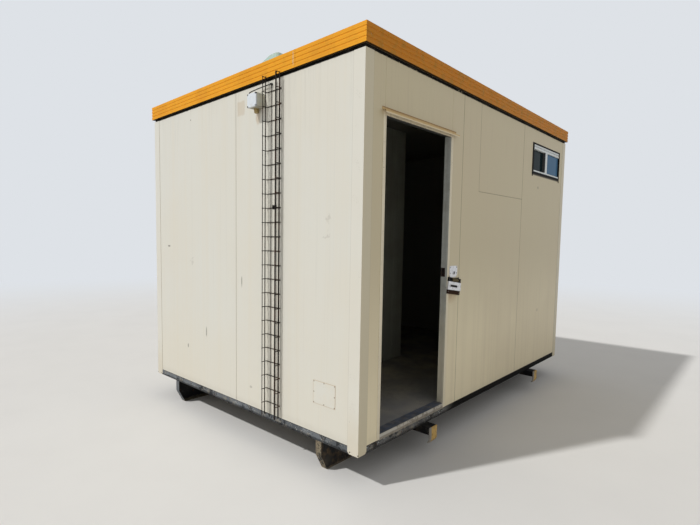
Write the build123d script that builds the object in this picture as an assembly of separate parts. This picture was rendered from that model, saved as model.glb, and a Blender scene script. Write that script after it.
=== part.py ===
from build123d import *
import os
from math import atan, degrees, hypot

# Portable site cabin: insulated wall panels on a steel floor frame and two skids.
# Millimetres. X runs along the front wall, Y to the back, Z up from the ground.
# Everything is drawn from the front left corner and centred at the end.

# Plan and stack of heights
LENGTH = 3600.0
WIDTH = 2400.0
SKID_DEPTH = 200.0
RAIL_HEIGHT = 48.0
FLOOR_THICKNESS = 30.0
WALL_HEIGHT = 2300.0
WALL_THICKNESS = 50.0
TOP_RING_HEIGHT = 21.0
ROOF_THICKNESS = 75.0

# Clearance beside the door frame's face, and how far a cut runs past a piece
SMALL_GAP = 1.0
OVERCUT = 1.0

# Skids: channels on edge with plated, raked noses
SKID_WIDTH = 50.0
SKID_WALL = 8.0
SKID_FRONT_INSET = 291.0
SKID_BACK_INSET = 325.0
SKID_NOSE_HEIGHT = 92.0
SKID_NOSE_RAKE = 60.0

# Lifting beams: inverted channels let into the skids, with stop plates on their ends
BEAM_WIDTH = 100.0
BEAM_DEPTH = 50.0
BEAM_WALL = 6.0
BEAM_REACH = 67.0
BEAM_LEFT_INSET = 750.0
BEAM_RIGHT_INSET = 850.0
STOP_HEIGHT = 88.0
STOP_TIP_HEIGHT = 22.0
STOP_TIP_RAKE = 14.0
STOP_PLATE = 8.0

# Floor frame
RAIL_WIDTH = 75.0
RAIL_WALL = 4.0
JOIST_WIDTH = 40.0
JOIST_WALL = 3.0
JOIST_COUNT = 9

# Panels of the long walls and the roof, of the end walls, and the patch in the middle panel
PANEL_MODULE = 1200.0
END_PANEL_WIDTH = 1175.0
PANEL_CHAMFER = 2.0
INFILL_INSET = 291.0
INFILL_HEIGHT = 678.0

# Screen wall inside the doorway
SCREEN_SETBACK = 1010.0
SCREEN_THICKNESS = 40.0
SCREEN_LENGTH = 1970.0
SCREEN_PANEL_WIDTH = 300.0
SCREEN_GROOVE = 6.0

# Corner trims
TRIM_LEG = 80.0
TRIM_SHEET = 1.6
TRIM_CLIP = 14.0

# Ribs on the roof panels
RIB_HEIGHT = 28.0
RIB_TOP = 26.0
RIB_BASE = 60.0
RIB_SETBACK = 60.0

# Fascia and the ring under it
FASCIA_HEIGHT = 110.5
FASCIA_OVERHANG = 18.0
FASCIA_SHEET = 1.6
FASCIA_GROOVE = 3.0
FASCIA_GROOVE_FLAT = 4.0
FASCIA_GROOVE_COUNT = 3
FASCIA_LIP = 40.0
TOP_RING_RECESS = 5.0

# Roof cowl: square throat, and a square hood with sloping sides on a stem
COWL_FROM_LEFT = 190.0
COWL_FROM_FRONT = 928.0
COWL_SIDE = 250.0
COWL_TOP_SIDE = 95.0
COWL_SKIRT = 15.0
COWL_RISE = 105.0
COWL_LIFT = 36.0
COWL_SHEET = 3.0
COWL_CORNER = 10.0
THROAT_SIDE = 160.0
THROAT_HEIGHT = 60.0
THROAT_FLANGE = 35.0
HUB_RADIUS = 14.0
SPIDER_BLADE = 4.0
SPIDER_DEPTH = 24.0

# Doorway
DOOR_INSET = 212.0
DOOR_WIDTH = 800.0
DOOR_HEIGHT = 1936.5
FRAME_SHEET = 2.0
FRAME_FACE = 30.0
FRAME_STOP = 10.0
FRAME_STOP_DEPTH = 14.0
SILL_DEPTH = 68.0
SILL_LIP = 35.0
DRIP_SIDE = 44.0
DRIP_SIDE_LOCK = 68.0
DRIP_REACH = 30.0
DRIP_LIP_BASE = 6.0
DRIP_LIP_TOP = 20.0
DRIP_LEG_BASE = 33.0
DRIP_LEG_TOP = 47.0
DRIP_SHEET = 1.6

# Strike plate in the lock jamb, lock plate and lock guard on the wall beside it
STRIKE_BASE = 1220.0
STRIKE_HEIGHT = 64.0
STRIKE_SETBACK = 20.0
STRIKE_WIDTH = 30.0
STRIKE_SHEET = 2.0
STRIKE_LATCH_INSET = 8.0
STRIKE_LATCH_HEIGHT = 14.0
STRIKE_BOLT_INSET = 28.0
STRIKE_BOLT_HEIGHT = 28.0
STRIKE_HOLE_WIDTH = 14.0
LOCK_GAP = 4.0
LOCK_BASE = 1212.0
LOCK_WIDTH = 118.0
LOCK_HEIGHT = 86.0
LOCK_SHEET = 4.0
LOCK_TOP_ROUND = 14.0
LOCK_FOOT_ROUND = 34.0
LOCK_COLLAR_RADIUS = 12.0
LOCK_COLLAR_RISE = 6.0
LOCK_COLLAR_LEVEL = 34.0
GUARD_INSET = 4.0
GUARD_WIDTH = 194.0
GUARD_REACH = 16.0
GUARD_SHEET = 3.0
GUARD_BASE = 1120.0
GUARD_HEIGHT = 61.0
GUARD_SLOT_INSET = 31.0
GUARD_SLOT_WIDTH = 105.0
GUARD_SLOT_HEIGHT = 16.0
GUARD_BAR_HEIGHT = 30.0
GUARD_BAR_REACH = 10.0
GUARD_BOLT_RADIUS = 9.0

# Window near the top of the last front panel
WINDOW_END_INSET = 176.0
WINDOW_WIDTH = 796.0
WINDOW_HEIGHT = 287.0
WINDOW_TOP_GAP = 124.0
SURROUND_LEFT = 32.0
SURROUND_RIGHT = 15.0
SURROUND_TOP = 11.0
SURROUND_BOTTOM = 18.0
SURROUND_PROUD = 4.0
SURROUND_TAB_WIDTH = 14.0
SURROUND_TAB_DROP = 28.0
LINING = 3.0
WINDOW_HEAD = 44.0
WINDOW_SILL = 15.0
WINDOW_MULLION = 66.0
WINDOW_MULLION_SHIFT = -22.0
WINDOW_FRAME_DEPTH = 36.0
HEAD_TRACK = 6.0
PANE_THICKNESS = 5.0
PANE_RIGHT_SETBACK = 10.0
PANE_LEFT_SETBACK = 24.0

# Wire tray up the left end wall
TRAY_SETBACK = 675.0
TRAY_WIDTH = 150.0
TRAY_DEPTH = 50.0
TRAY_WIRE = 5.0
TRAY_WELD = 0.6
TRAY_BEND = 6.0
TRAY_PITCH = 97.4
TRAY_CREST_RISE = 8.2
TRAY_FOOT_DROP = 3.0
TRAY_TOP_GAP = 20.0
TRAY_MID = 22.5
TRAY_BASE_INSET = 50.0
TRAY_BASE_PITCH = 50.0
TRAY_BASE_COUNT = 2
WIRE_SIDES = 6

# Junction box beside the tray, with its lid and the lead that leaves its top
BOX_SETBACK = 850.0
BOX_WIDTH = 94.0
BOX_HEIGHT = 92.0
BOX_TOP_GAP = 76.0
BOX_DEPTH = 80.0
BOX_LID = 12.0
BOX_LID_EDGE = 2.0
BOX_ROUND = 6.0
LEAD_RADIUS = 3.5
LEAD_SIDES = 8
LEAD_STANDOFF = 14.5
LEAD_SETBACK = 918.0
LEAD_DROP = 61.2
LEAD_BEND = 16.0
LEAD_END = 752.0
GLAND_RADIUS = 8.0
GLAND_REACH = 22.0

# Cover plate low on the left end wall
COVER_SETBACK = 181.0
COVER_WIDTH = 185.0
COVER_BASE = 441.0
COVER_HEIGHT = 149.0
COVER_SHEET = 1.5

# Levels and edges worked out from the stack
WALL_Z = SKID_DEPTH + RAIL_HEIGHT
FLOOR_Z = WALL_Z + FLOOR_THICKNESS
WALL_TOP_Z = WALL_Z + WALL_HEIGHT
ROOF_Z = WALL_TOP_Z + TOP_RING_HEIGHT
ROOF_TOP_Z = ROOF_Z + ROOF_THICKNESS
HEAD_Z = FLOOR_Z + DOOR_HEIGHT
TRAY_CREST_Z = ROOF_Z + TRAY_CREST_RISE
BEAM_CENTRES = (BEAM_LEFT_INSET, LENGTH - BEAM_RIGHT_INSET)
DOOR_RIGHT = DOOR_INSET + DOOR_WIDTH
FRAME_EDGE = FRAME_STOP + FRAME_SHEET

# Each side is drawn along local X from 0, with the outside towards local -Y
SIDES = {
    "front": (Plane((0, 0, 0), x_dir=(1, 0, 0), z_dir=(0, 0, 1)).location, LENGTH),
    "right": (Plane((LENGTH, 0, 0), x_dir=(0, 1, 0), z_dir=(0, 0, 1)).location, WIDTH),
    "back": (Plane((LENGTH, WIDTH, 0), x_dir=(-1, 0, 0), z_dir=(0, 0, 1)).location, LENGTH),
    "left": (Plane((0, WIDTH, 0), x_dir=(0, -1, 0), z_dir=(0, 0, 1)).location, WIDTH),
}
PROFILE_PLANE = Plane(origin=(0, 0, 0), x_dir=(0, -1, 0), z_dir=(-1, 0, 0))


def block(low, high):
    """A box between two opposite corners."""
    size = [b - a for a, b in zip(low, high)]
    centre = [(a + b) / 2 for a, b in zip(low, high)]
    return Pos(*centre) * Box(*size)


def polygon(points):
    """A flat face with straight edges."""
    return make_face(Polyline(*points, close=True).edges())


def folded(points, sheet):
    """Section of a folded sheet. The line is its outer side and the sheet lies on the left."""
    normals = []
    for (x0, y0), (x1, y1) in zip(points, points[1:]):
        run = hypot(x1 - x0, y1 - y0)
        normals.append(((y0 - y1) / run, (x1 - x0) / run))
    inner = []
    for i, (x, y) in enumerate(points):
        before = normals[max(i - 1, 0)]
        after = normals[min(i, len(normals) - 1)]
        share = sheet / (1 + before[0] * after[0] + before[1] * after[1])
        inner.append((x + share * (before[0] + after[0]), y + share * (before[1] + after[1])))
    return polygon(list(points) + inner[::-1])


def along(section, start, end):
    """A section drawn as (outward, up) and run along X."""
    return Pos(start, 0, 0) * extrude(PROFILE_PLANE * section, amount=end - start, dir=(1, 0, 0))


def upright(section, low, high):
    """A plan section run up from one level to another."""
    return Pos(0, 0, low) * extrude(section, amount=high - low)


def flat_plate(outline, thickness):
    """An outline drawn as (x, z), standing on the front wall's face."""
    return extrude(Plane.XZ * polygon(outline), amount=thickness)


def panel(start, end, low=WALL_Z, high=WALL_TOP_Z):
    """One wall panel between two places on its side, with its long edges eased."""
    c = PANEL_CHAMFER
    t = WALL_THICKNESS
    outer = [(start, c), (start + c, 0), (end - c, 0), (end, c)]
    inner = [(end, t - c), (end - c, t), (start + c, t), (start, t - c)]
    return upright(polygon(outer + inner), low, high)


def skid(web_y, inward):
    """One skid. Its web faces out, its open side faces the other skid."""
    rake = SKID_NOSE_RAKE
    drop = SKID_DEPTH - SKID_NOSE_HEIGHT
    foot = [(0, drop), (rake, 0), (LENGTH - rake, 0), (LENGTH, drop)]
    outline = polygon(foot + [(LENGTH, SKID_DEPTH), (0, SKID_DEPTH)])
    core = offset(outline, amount=-SKID_WALL, kind=Kind.INTERSECTION)
    body = extrude(Plane.XZ * outline, amount=SKID_WIDTH)
    body -= Pos(0, -SKID_WALL, 0) * extrude(Plane.XZ * core, amount=SKID_WIDTH)
    half = BEAM_WIDTH / 2
    for x in BEAM_CENTRES:
        low = (x - half, -SKID_WIDTH - OVERCUT, SKID_DEPTH - BEAM_DEPTH)
        body -= block(low, (x + half, OVERCUT, SKID_DEPTH + OVERCUT))
    if inward > 0:
        body = mirror(body, about=Plane.XZ)
    return Pos(0, web_y, 0) * body


def skids():
    """Front and back skid."""
    return {"skid_front": skid(SKID_FRONT_INSET, 1), "skid_back": skid(WIDTH - SKID_BACK_INSET, -1)}


def stop_plate():
    """A plate that hangs past a beam's end, its tip bent back under the beam."""
    half = BEAM_WIDTH / 2
    face = STOP_PLATE
    line = [(face - STOP_TIP_RAKE, -STOP_HEIGHT - STOP_TIP_HEIGHT), (face, -STOP_HEIGHT), (face, 0)]
    return along(folded(line, STOP_PLATE), -half, half)


def lifting_beams():
    """Two beams that pass through the skids, and the four plates that close their ends."""
    half = BEAM_WIDTH / 2
    w = BEAM_WALL
    ends = (-BEAM_REACH, WIDTH + BEAM_REACH)
    section = [(-half, -BEAM_DEPTH), (-half, 0), (half, 0), (half, -BEAM_DEPTH)]
    section = polygon(section) - Pos(0, -w) * polygon([(a * (half - w) / half, b) for a, b in section])
    beam = extrude(Plane.XZ.offset(-ends[1]) * section, amount=ends[1] - ends[0])
    pieces = {}
    plates = []
    for name, x in zip(("left", "right"), BEAM_CENTRES):
        pieces[f"lifting_beam_{name}"] = Pos(x, 0, SKID_DEPTH) * beam
        plates.append(Pos(x, ends[0], SKID_DEPTH) * stop_plate())
        plates.append(Pos(x, ends[1], SKID_DEPTH) * Rot(0, 0, 180) * stop_plate())
    pieces["sling_stops"] = Compound(children=plates)
    return pieces


def floor_frame():
    """Welded frame: channel rails round the edge with box joists between them. The deck lies on it."""
    w = RAIL_WIDTH
    h = RAIL_HEIGHT
    section = folded([(-w, 0), (0, 0), (0, h), (-w, h)], RAIL_WALL)
    frame = []
    for side, (place, run) in SIDES.items():
        inset = 0 if side in ("front", "back") else w
        frame.append(place * Pos(0, 0, SKID_DEPTH) * along(section, inset, run - inset))
    spacing = (LENGTH - 2 * w) / (JOIST_COUNT + 1)
    outer = JOIST_WIDTH / 2
    inner = outer - JOIST_WALL
    for i in range(JOIST_COUNT):
        x = w + spacing * (i + 1)
        bar = block((x - outer, w, SKID_DEPTH), (x + outer, WIDTH - w, WALL_Z))
        bore = block((x - inner, 0, SKID_DEPTH + JOIST_WALL), (x + inner, WIDTH, WALL_Z - JOIST_WALL))
        frame.append(bar - bore)
    t = WALL_THICKNESS
    deck = block((t, t, WALL_Z), (LENGTH - t, WIDTH - t, FLOOR_Z))
    tongue = block((DOOR_INSET - FRAME_EDGE, 0, WALL_Z), (DOOR_RIGHT + FRAME_EDGE, t, FLOOR_Z))
    return {"floor_frame": Part() + frame, "floor_deck": deck + tongue}


def window_hole():
    """Clear hole inside the window's surround: left, right, bottom and top."""
    right = LENGTH - WINDOW_END_INSET
    top = WALL_TOP_Z - WINDOW_TOP_GAP
    left = right - WINDOW_WIDTH
    low = top - WINDOW_HEIGHT
    return left + SURROUND_LEFT, right - SURROUND_RIGHT, low + SURROUND_BOTTOM, top - SURROUND_TOP


def front_wall():
    """Front wall: split beside and over the doorway, an infill patch, and the window panel."""
    t = WALL_THICKNESS
    first = PANEL_MODULE
    last = LENGTH - PANEL_MODULE
    hinge = DOOR_INSET - FRAME_EDGE
    lock = DOOR_RIGHT + FRAME_EDGE
    patch_x = first + INFILL_INSET
    patch_z = WALL_TOP_Z - INFILL_HEIGHT
    middle = panel(first, last)
    middle -= block((patch_x, -OVERCUT, patch_z), (last + OVERCUT, t + OVERCUT, WALL_TOP_Z + OVERCUT))
    infill = block((patch_x, 0, patch_z), (last, t, WALL_TOP_Z))
    infill = chamfer(infill.faces().sort_by(Axis.Y)[0].edges(), PANEL_CHAMFER)
    left, right, low, high = window_hole()
    cut = block((left - LINING, -OVERCUT, low - LINING), (right + LINING, t + OVERCUT, high + LINING))
    return {
        "front_wall_hinge_side": panel(0, hinge),
        "front_wall_over_door": panel(hinge, lock, low=HEAD_Z + FRAME_EDGE),
        "front_wall_lock_side": panel(lock, first),
        "front_wall_middle": middle,
        "front_wall_infill": infill,
        "front_wall_window_panel": panel(last, LENGTH) - cut,
    }


def other_walls():
    """Back wall of three panels, and end walls of two panels between the long walls."""
    t = WALL_THICKNESS
    pieces = {}
    place, run = SIDES["back"]
    stops = [0, PANEL_MODULE, run - PANEL_MODULE, run]
    for name, start, end in zip(("right", "middle", "left"), stops, stops[1:]):
        pieces[f"back_wall_{name}"] = place * panel(start, end)
    for side in ("left", "right"):
        place, run = SIDES[side]
        joint = END_PANEL_WIDTH if side == "right" else run - END_PANEL_WIDTH
        names = ("front", "back") if side == "right" else ("back", "front")
        pieces[f"{side}_wall_{names[0]}"] = place * panel(t, joint)
        pieces[f"{side}_wall_{names[1]}"] = place * panel(joint, run - t)
    return pieces


def screen_wall():
    """Screen wall behind the doorway, with upright grooves in its front face."""
    t = WALL_THICKNESS
    face = SCREEN_SETBACK
    half = SCREEN_GROOVE / 2
    count = int(SCREEN_LENGTH // SCREEN_PANEL_WIDTH)
    plan = [(t, face)]
    for i in range(1, count + 1):
        x = t + i * SCREEN_PANEL_WIDTH
        plan += [(x - half, face), (x, face + half), (x + half, face)]
    end = t + SCREEN_LENGTH
    back = face + SCREEN_THICKNESS
    plan += [(end, face), (end, back), (t, back)]
    return {"screen_wall": upright(polygon(plan), FLOOR_Z, ROOF_Z)}


def corner_trims():
    """Folded angles over the wall corners, down to the underside of the rails."""
    s = TRIM_SHEET
    leg = TRIM_LEG
    clip = TRIM_CLIP
    low = SKID_DEPTH
    outline = [(-s, low), (leg - clip, low), (leg, low + clip), (leg, WALL_TOP_Z), (-s, WALL_TOP_Z)]
    flat = flat_plate(outline, s)
    angle = flat + Rot(0, 0, -90) * mirror(flat, about=Plane.YZ)
    corners = {"front": "front_left", "right": "front_right", "back": "back_right", "left": "back_left"}
    return {f"corner_trim_{name}": SIDES[side][0] * angle for side, name in corners.items()}


def top_ring():
    """Flat ring on the wall heads, set back behind the wall faces."""
    t = WALL_THICKNESS
    r = TOP_RING_RECESS
    ring = block((r, r, WALL_TOP_Z), (LENGTH - r, WIDTH - r, ROOF_Z))
    ring -= block((t, t, WALL_TOP_Z - OVERCUT), (LENGTH - t, WIDTH - t, ROOF_Z + OVERCUT))
    return {"top_ring": ring}


def roof():
    """Roof panels that run front to back, with tapered ribs."""
    e = FASCIA_OVERHANG - FASCIA_GROOVE - FASCIA_SHEET
    b = RIB_BASE / 2
    a = RIB_TOP / 2
    rib = polygon([(-b, 0), (b, 0), (a, RIB_HEIGHT), (-a, RIB_HEIGHT)])
    rib = extrude(Plane.XZ.offset(RIB_SETBACK - WIDTH) * rib, amount=WIDTH - 2 * RIB_SETBACK)
    middle = PANEL_MODULE
    right = LENGTH - PANEL_MODULE
    layout = {
        "left": (-e, middle, (middle / 2,)),
        "middle": (middle, right, (middle + b, (middle + right) / 2)),
        "right": (right, LENGTH + e, (right + b, (right + LENGTH) / 2)),
    }
    pieces = {}
    for name, (start, end, ribs) in layout.items():
        slab = block((start, -e, ROOF_Z), (end, WIDTH + e, ROOF_TOP_Z))
        for x in ribs:
            slab += Pos(x, 0, ROOF_TOP_Z) * rib
        pieces[f"roof_panel_{name}"] = slab
    return pieces


def fascias():
    """Roll-formed fascias with level grooves, mitred at the corners, lipped over the roof."""
    o = FASCIA_OVERHANG
    g = FASCIA_GROOVE
    h = FASCIA_HEIGHT
    line = [(0, 0), (o, 0)]
    for i in range(FASCIA_GROOVE_COUNT):
        z = h * (i + 1) / (FASCIA_GROOVE_COUNT + 1)
        f = FASCIA_GROOVE_FLAT / 2
        line += [(o, z - f - g), (o - g, z - f), (o - g, z + f), (o, z + f + g)]
    line += [(o, h), (-FASCIA_LIP, h), (-FASCIA_LIP, FASCIA_SHEET + ROOF_THICKNESS)]
    section = folded(line, FASCIA_SHEET)
    base = ROOF_Z - FASCIA_SHEET
    reach = FASCIA_LIP + OVERCUT
    pieces = {}
    for side, (place, run) in SIDES.items():
        strip = Pos(0, 0, base) * along(section, -o, run + o)
        plan = polygon([(-o, -o), (run + o, -o), (run - reach, reach), (reach, reach)])
        pieces[f"fascia_{side}"] = place * (strip & upright(plan, base - OVERCUT, base + h + OVERCUT))
    return pieces


def hood(side, corner):
    """A square drum that tapers to a flat top, with its upright and sloping corners eased."""
    lean = degrees(atan((COWL_SIDE - COWL_TOP_SIDE) / 2 / COWL_RISE))
    base = Rectangle(side, side)
    body = extrude(base, amount=COWL_SKIRT)
    body += extrude(Pos(0, 0, COWL_SKIRT) * base, amount=COWL_RISE, taper=lean)
    corners = [edge for edge in body.edges() if abs(edge.tangent_at(0.5).Z) > 0.1]
    return chamfer(corners, corner)


def roof_cowl():
    """Flanged throat with crossed blades in its mouth, and a thin hood held up by a stem on their hub."""
    side = THROAT_SIDE
    s = COWL_SHEET
    bore = side - 2 * s
    flange = side + 2 * THROAT_FLANGE
    throat = extrude(Rectangle(side, side), amount=THROAT_HEIGHT)
    throat += extrude(Rectangle(flange, flange), amount=s)
    throat -= Pos(0, 0, THROAT_HEIGHT / 2) * Box(bore, bore, THROAT_HEIGHT + OVERCUT)
    mouth = Pos(0, 0, THROAT_HEIGHT - SPIDER_DEPTH / 2)
    throat += mouth * Box(bore, SPIDER_BLADE, SPIDER_DEPTH)
    throat += mouth * Box(SPIDER_BLADE, bore, SPIDER_DEPTH)
    throat += mouth * Cylinder(HUB_RADIUS, SPIDER_DEPTH)
    ceiling = COWL_LIFT + COWL_SKIRT + COWL_RISE - s
    cap = hood(COWL_SIDE, COWL_CORNER) - Pos(0, 0, -s) * hood(COWL_SIDE - 2 * s, COWL_CORNER - s)
    cap = Pos(0, 0, COWL_LIFT) * cap
    cap += Pos(0, 0, THROAT_HEIGHT) * extrude(Circle(HUB_RADIUS), amount=ceiling - THROAT_HEIGHT)
    place = Pos(COWL_FROM_LEFT, COWL_FROM_FRONT, ROOF_TOP_Z)
    return {"cowl_throat": place * throat, "cowl_cap": place * cap}


def door_frame():
    """Pressed frame wrapped round the wall's edge, with a stop, mitred at the top corners."""
    t = WALL_THICKNESS
    s = FRAME_SHEET
    face = FRAME_FACE
    back = t + s
    stop = FRAME_STOP_DEPTH
    line = [(face, back), (FRAME_STOP, back), (FRAME_STOP, stop), (0, stop), (0, -s), (face, -s)]
    section = folded(line, s)
    top = HEAD_Z + face
    jamb = upright(section, FLOOR_Z, top) + block((0, -s, WALL_Z), (face, 0, FLOOR_Z))
    head = along(folded([(-b, a) for a, b in line], s), DOOR_INSET - face, DOOR_RIGHT + face)
    head = Pos(0, 0, HEAD_Z) * head
    o = OVERCUT
    low = HEAD_Z - o
    corners = [(DOOR_INSET + o, low), (DOOR_INSET - face - o, top + o), (DOOR_RIGHT + face + o, top + o)]
    corners.append((DOOR_RIGHT - o, low))
    mitre = Pos(0, back + o, 0) * flat_plate(corners, back + s + 2 * o)
    return {
        "door_jamb_hinge_side": Pos(DOOR_INSET, 0, 0) * mirror(jamb, about=Plane.YZ) - mitre,
        "door_jamb_lock_side": Pos(DOOR_RIGHT, 0, 0) * jamb - mitre,
        "door_head": head & mitre,
    }


def doorway():
    """Sill, drip flashing over the head, and strike plate."""
    s = FRAME_SHEET
    sill_line = [(s, FLOOR_Z - SILL_LIP), (s, FLOOR_Z + s), (-SILL_DEPTH, FLOOR_Z + s)]
    sill = along(folded(sill_line, s), DOOR_INSET, DOOR_RIGHT)
    drip_line = [(DRIP_REACH, DRIP_LIP_BASE), (DRIP_REACH, DRIP_LIP_TOP), (DRIP_SHEET, DRIP_LEG_BASE)]
    drip_line.append((DRIP_SHEET, DRIP_LEG_TOP))
    drip = along(folded(drip_line, DRIP_SHEET), DOOR_INSET - DRIP_SIDE, DOOR_RIGHT + DRIP_SIDE_LOCK)
    x = DOOR_RIGHT + FRAME_STOP
    low_y = STRIKE_SETBACK
    high_y = low_y + STRIKE_WIDTH
    strike = block((x - STRIKE_SHEET, low_y, STRIKE_BASE), (x, high_y, STRIKE_BASE + STRIKE_HEIGHT))
    inset = (STRIKE_WIDTH - STRIKE_HOLE_WIDTH) / 2
    holes = ((STRIKE_LATCH_INSET, STRIKE_LATCH_HEIGHT), (STRIKE_BOLT_INSET, STRIKE_BOLT_HEIGHT))
    for start, size in holes:
        low = (x - STRIKE_SHEET - OVERCUT, low_y + inset, STRIKE_BASE + start)
        strike -= block(low, (x + OVERCUT, high_y - inset, STRIKE_BASE + start + size))
    return {"door_sill": sill, "door_drip": Pos(0, 0, HEAD_Z) * drip, "strike_plate": strike}


def lock_fittings():
    """Lock plate with a round foot and collar, and the slotted guard below it."""
    x = DOOR_RIGHT + FRAME_FACE + LOCK_GAP
    w = LOCK_WIDTH
    z = LOCK_BASE
    h = LOCK_HEIGHT
    plate = flat_plate([(x, z), (x + w, z), (x + w, z + h), (x, z + h)], LOCK_SHEET)
    edges = plate.edges().filter_by(Axis.Y).sort_by(Axis.Z)
    plate = fillet(edges[:2], LOCK_FOOT_ROUND)
    edges = plate.edges().filter_by(Axis.Y).sort_by(Axis.Z)
    plate = fillet(edges[-2:], LOCK_TOP_ROUND)
    collar = Pos(x + w / 2, 0, z + LOCK_COLLAR_LEVEL) * Rot(90, 0, 0) * Cylinder(
        LOCK_COLLAR_RADIUS, LOCK_SHEET + LOCK_COLLAR_RISE, align=(Align.CENTER, Align.CENTER, Align.MIN))
    return {"lock_plate": plate + collar, "lock_guard": lock_guard()}


def lock_guard():
    """A folded, slotted cover between two bars, seated on the frame's face and the wall."""
    s = GUARD_SHEET
    r = GUARD_REACH
    left = DOOR_RIGHT + GUARD_INSET
    right = left + GUARD_WIDTH
    step = DOOR_RIGHT + FRAME_FACE + SMALL_GAP
    base = GUARD_BASE
    top = base + GUARD_HEIGHT
    seat = -FRAME_SHEET
    plan = [(left, seat), (left, s - r), (left + s, -r), (right - s, -r), (right, s - r), (right, 0)]
    plan += [(right - s, 0), (right - s, s - r), (left + s, s - r), (left + s, seat)]
    guard = upright(polygon(plan), base, top)
    slot_x = left + GUARD_SLOT_INSET
    slot_z = (base + top - GUARD_SLOT_HEIGHT) / 2
    slot = (slot_x + GUARD_SLOT_WIDTH, -r + s + OVERCUT, slot_z + GUARD_SLOT_HEIGHT)
    guard -= block((slot_x, -r - OVERCUT, slot_z), slot)
    reach = GUARD_BAR_REACH
    bar = [(left, seat), (left, -reach), (right, -reach), (right, 0), (step, 0), (step, seat)]
    for low in (base - GUARD_BAR_HEIGHT, top):
        guard += upright(polygon(bar), low, low + GUARD_BAR_HEIGHT)
    bolt = Rot(0, 90, 0) * Cylinder(GUARD_BOLT_RADIUS, GUARD_WIDTH / 2)
    return guard + Pos((left + right) / 2, -reach, top + GUARD_BAR_HEIGHT / 2) * bolt


def window():
    """Window: dark surround and lining, white head, sill and mullion, and two panes."""
    left, right, low, high = window_hole()
    t = WALL_THICKNESS
    outer_low = low - SURROUND_BOTTOM
    outer_left = left - SURROUND_LEFT
    outer_right = right + SURROUND_RIGHT
    ring = block((outer_left, -SURROUND_PROUD, outer_low), (outer_right, 0, high + SURROUND_TOP))
    ring += block((left - LINING, 0, low - LINING), (right + LINING, t, high + LINING))
    ring -= block((left, -SURROUND_PROUD - OVERCUT, low), (right, t + OVERCUT, high))
    for x in (outer_left, outer_right - SURROUND_TAB_WIDTH):
        foot = (x, -SURROUND_PROUD, outer_low - SURROUND_TAB_DROP)
        ring += block(foot, (x + SURROUND_TAB_WIDTH, 0, outer_low))
    middle = (left + right) / 2 + WINDOW_MULLION_SHIFT
    half = WINDOW_MULLION / 2
    d = WINDOW_FRAME_DEPTH
    sill_z = low + WINDOW_SILL
    head_z = high - WINDOW_HEAD
    frame = block((left, 0, low), (right, d, sill_z))
    frame += block((left, 0, head_z), (right, d, high))
    frame += block((middle - half, 0, sill_z), (middle + half, d, head_z))
    track = (head_z + high) / 2
    frame -= block((left - OVERCUT, -OVERCUT, track), (right + OVERCUT, HEAD_TRACK, track + HEAD_TRACK))
    p = PANE_THICKNESS
    y = PANE_LEFT_SETBACK
    pane_left = block((left, y, sill_z), (middle - half, y + p, head_z))
    y = PANE_RIGHT_SETBACK
    pane_right = block((middle + half, y, sill_z), (right, y + p, head_z))
    return {
        "window_surround": ring,
        "window_frame": frame,
        "window_pane_left": pane_left,
        "window_pane_right": pane_right,
    }


def wire(points):
    """A many-sided wire along a bent line, with its corners eased."""
    line = [points[0]]
    for before, (x, y, z), after in zip(points, points[1:], points[2:]):
        for other in (before, after):
            run = TRAY_BEND / hypot(other[0] - x, other[1] - y)
            line.append((x + (other[0] - x) * run, y + (other[1] - y) * run, z))
    line.append(points[-1])
    path = Polyline(*line)
    plane = Plane(origin=path @ 0, x_dir=(0, 0, 1), z_dir=path % 0)
    section = plane * RegularPolygon(TRAY_WIRE / 2, WIRE_SIDES, major_radius=False)
    return sweep(section, path=path, transition=Transition.RIGHT)


def wire_tray():
    """Wire basket tray: bent cross wires against the wall, long wires welded inside them."""
    half = TRAY_WIRE / 2
    near = TRAY_SETBACK + half
    far = TRAY_SETBACK + TRAY_WIDTH - half
    rim = -TRAY_DEPTH + half
    step = TRAY_WIRE - TRAY_WELD
    foot = WALL_Z - TRAY_FOOT_DROP
    crest = TRAY_CREST_Z
    tip = crest + half
    wires = []
    for i in range(int((crest - WALL_Z) // TRAY_PITCH)):
        z = crest - (i + 1) * TRAY_PITCH
        wires.append(wire([(rim, near, z), (-half, near, z), (-half, far, z), (rim, far, z)]))
    for side in (near, far):
        wires.append(wire([(rim, side, crest), (-TRAY_MID, side, crest)]))
    for across in (near + step, far - step):
        for x in (rim, -TRAY_MID):
            wires.append(long_wire(x, across, foot, tip))
    for i in range(TRAY_BASE_COUNT):
        y = TRAY_SETBACK + TRAY_BASE_INSET + i * TRAY_BASE_PITCH
        wires.append(long_wire(-half - step, y, foot, WALL_TOP_Z - TRAY_TOP_GAP))
    return {"wire_tray": Part() + wires}


def long_wire(x, y, low, high):
    """One upright wire of the tray."""
    section = RegularPolygon(TRAY_WIRE / 2, WIRE_SIDES, major_radius=False, rotation=180 / WIRE_SIDES)
    return upright(Pos(x, y) * section, low, high)


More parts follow.
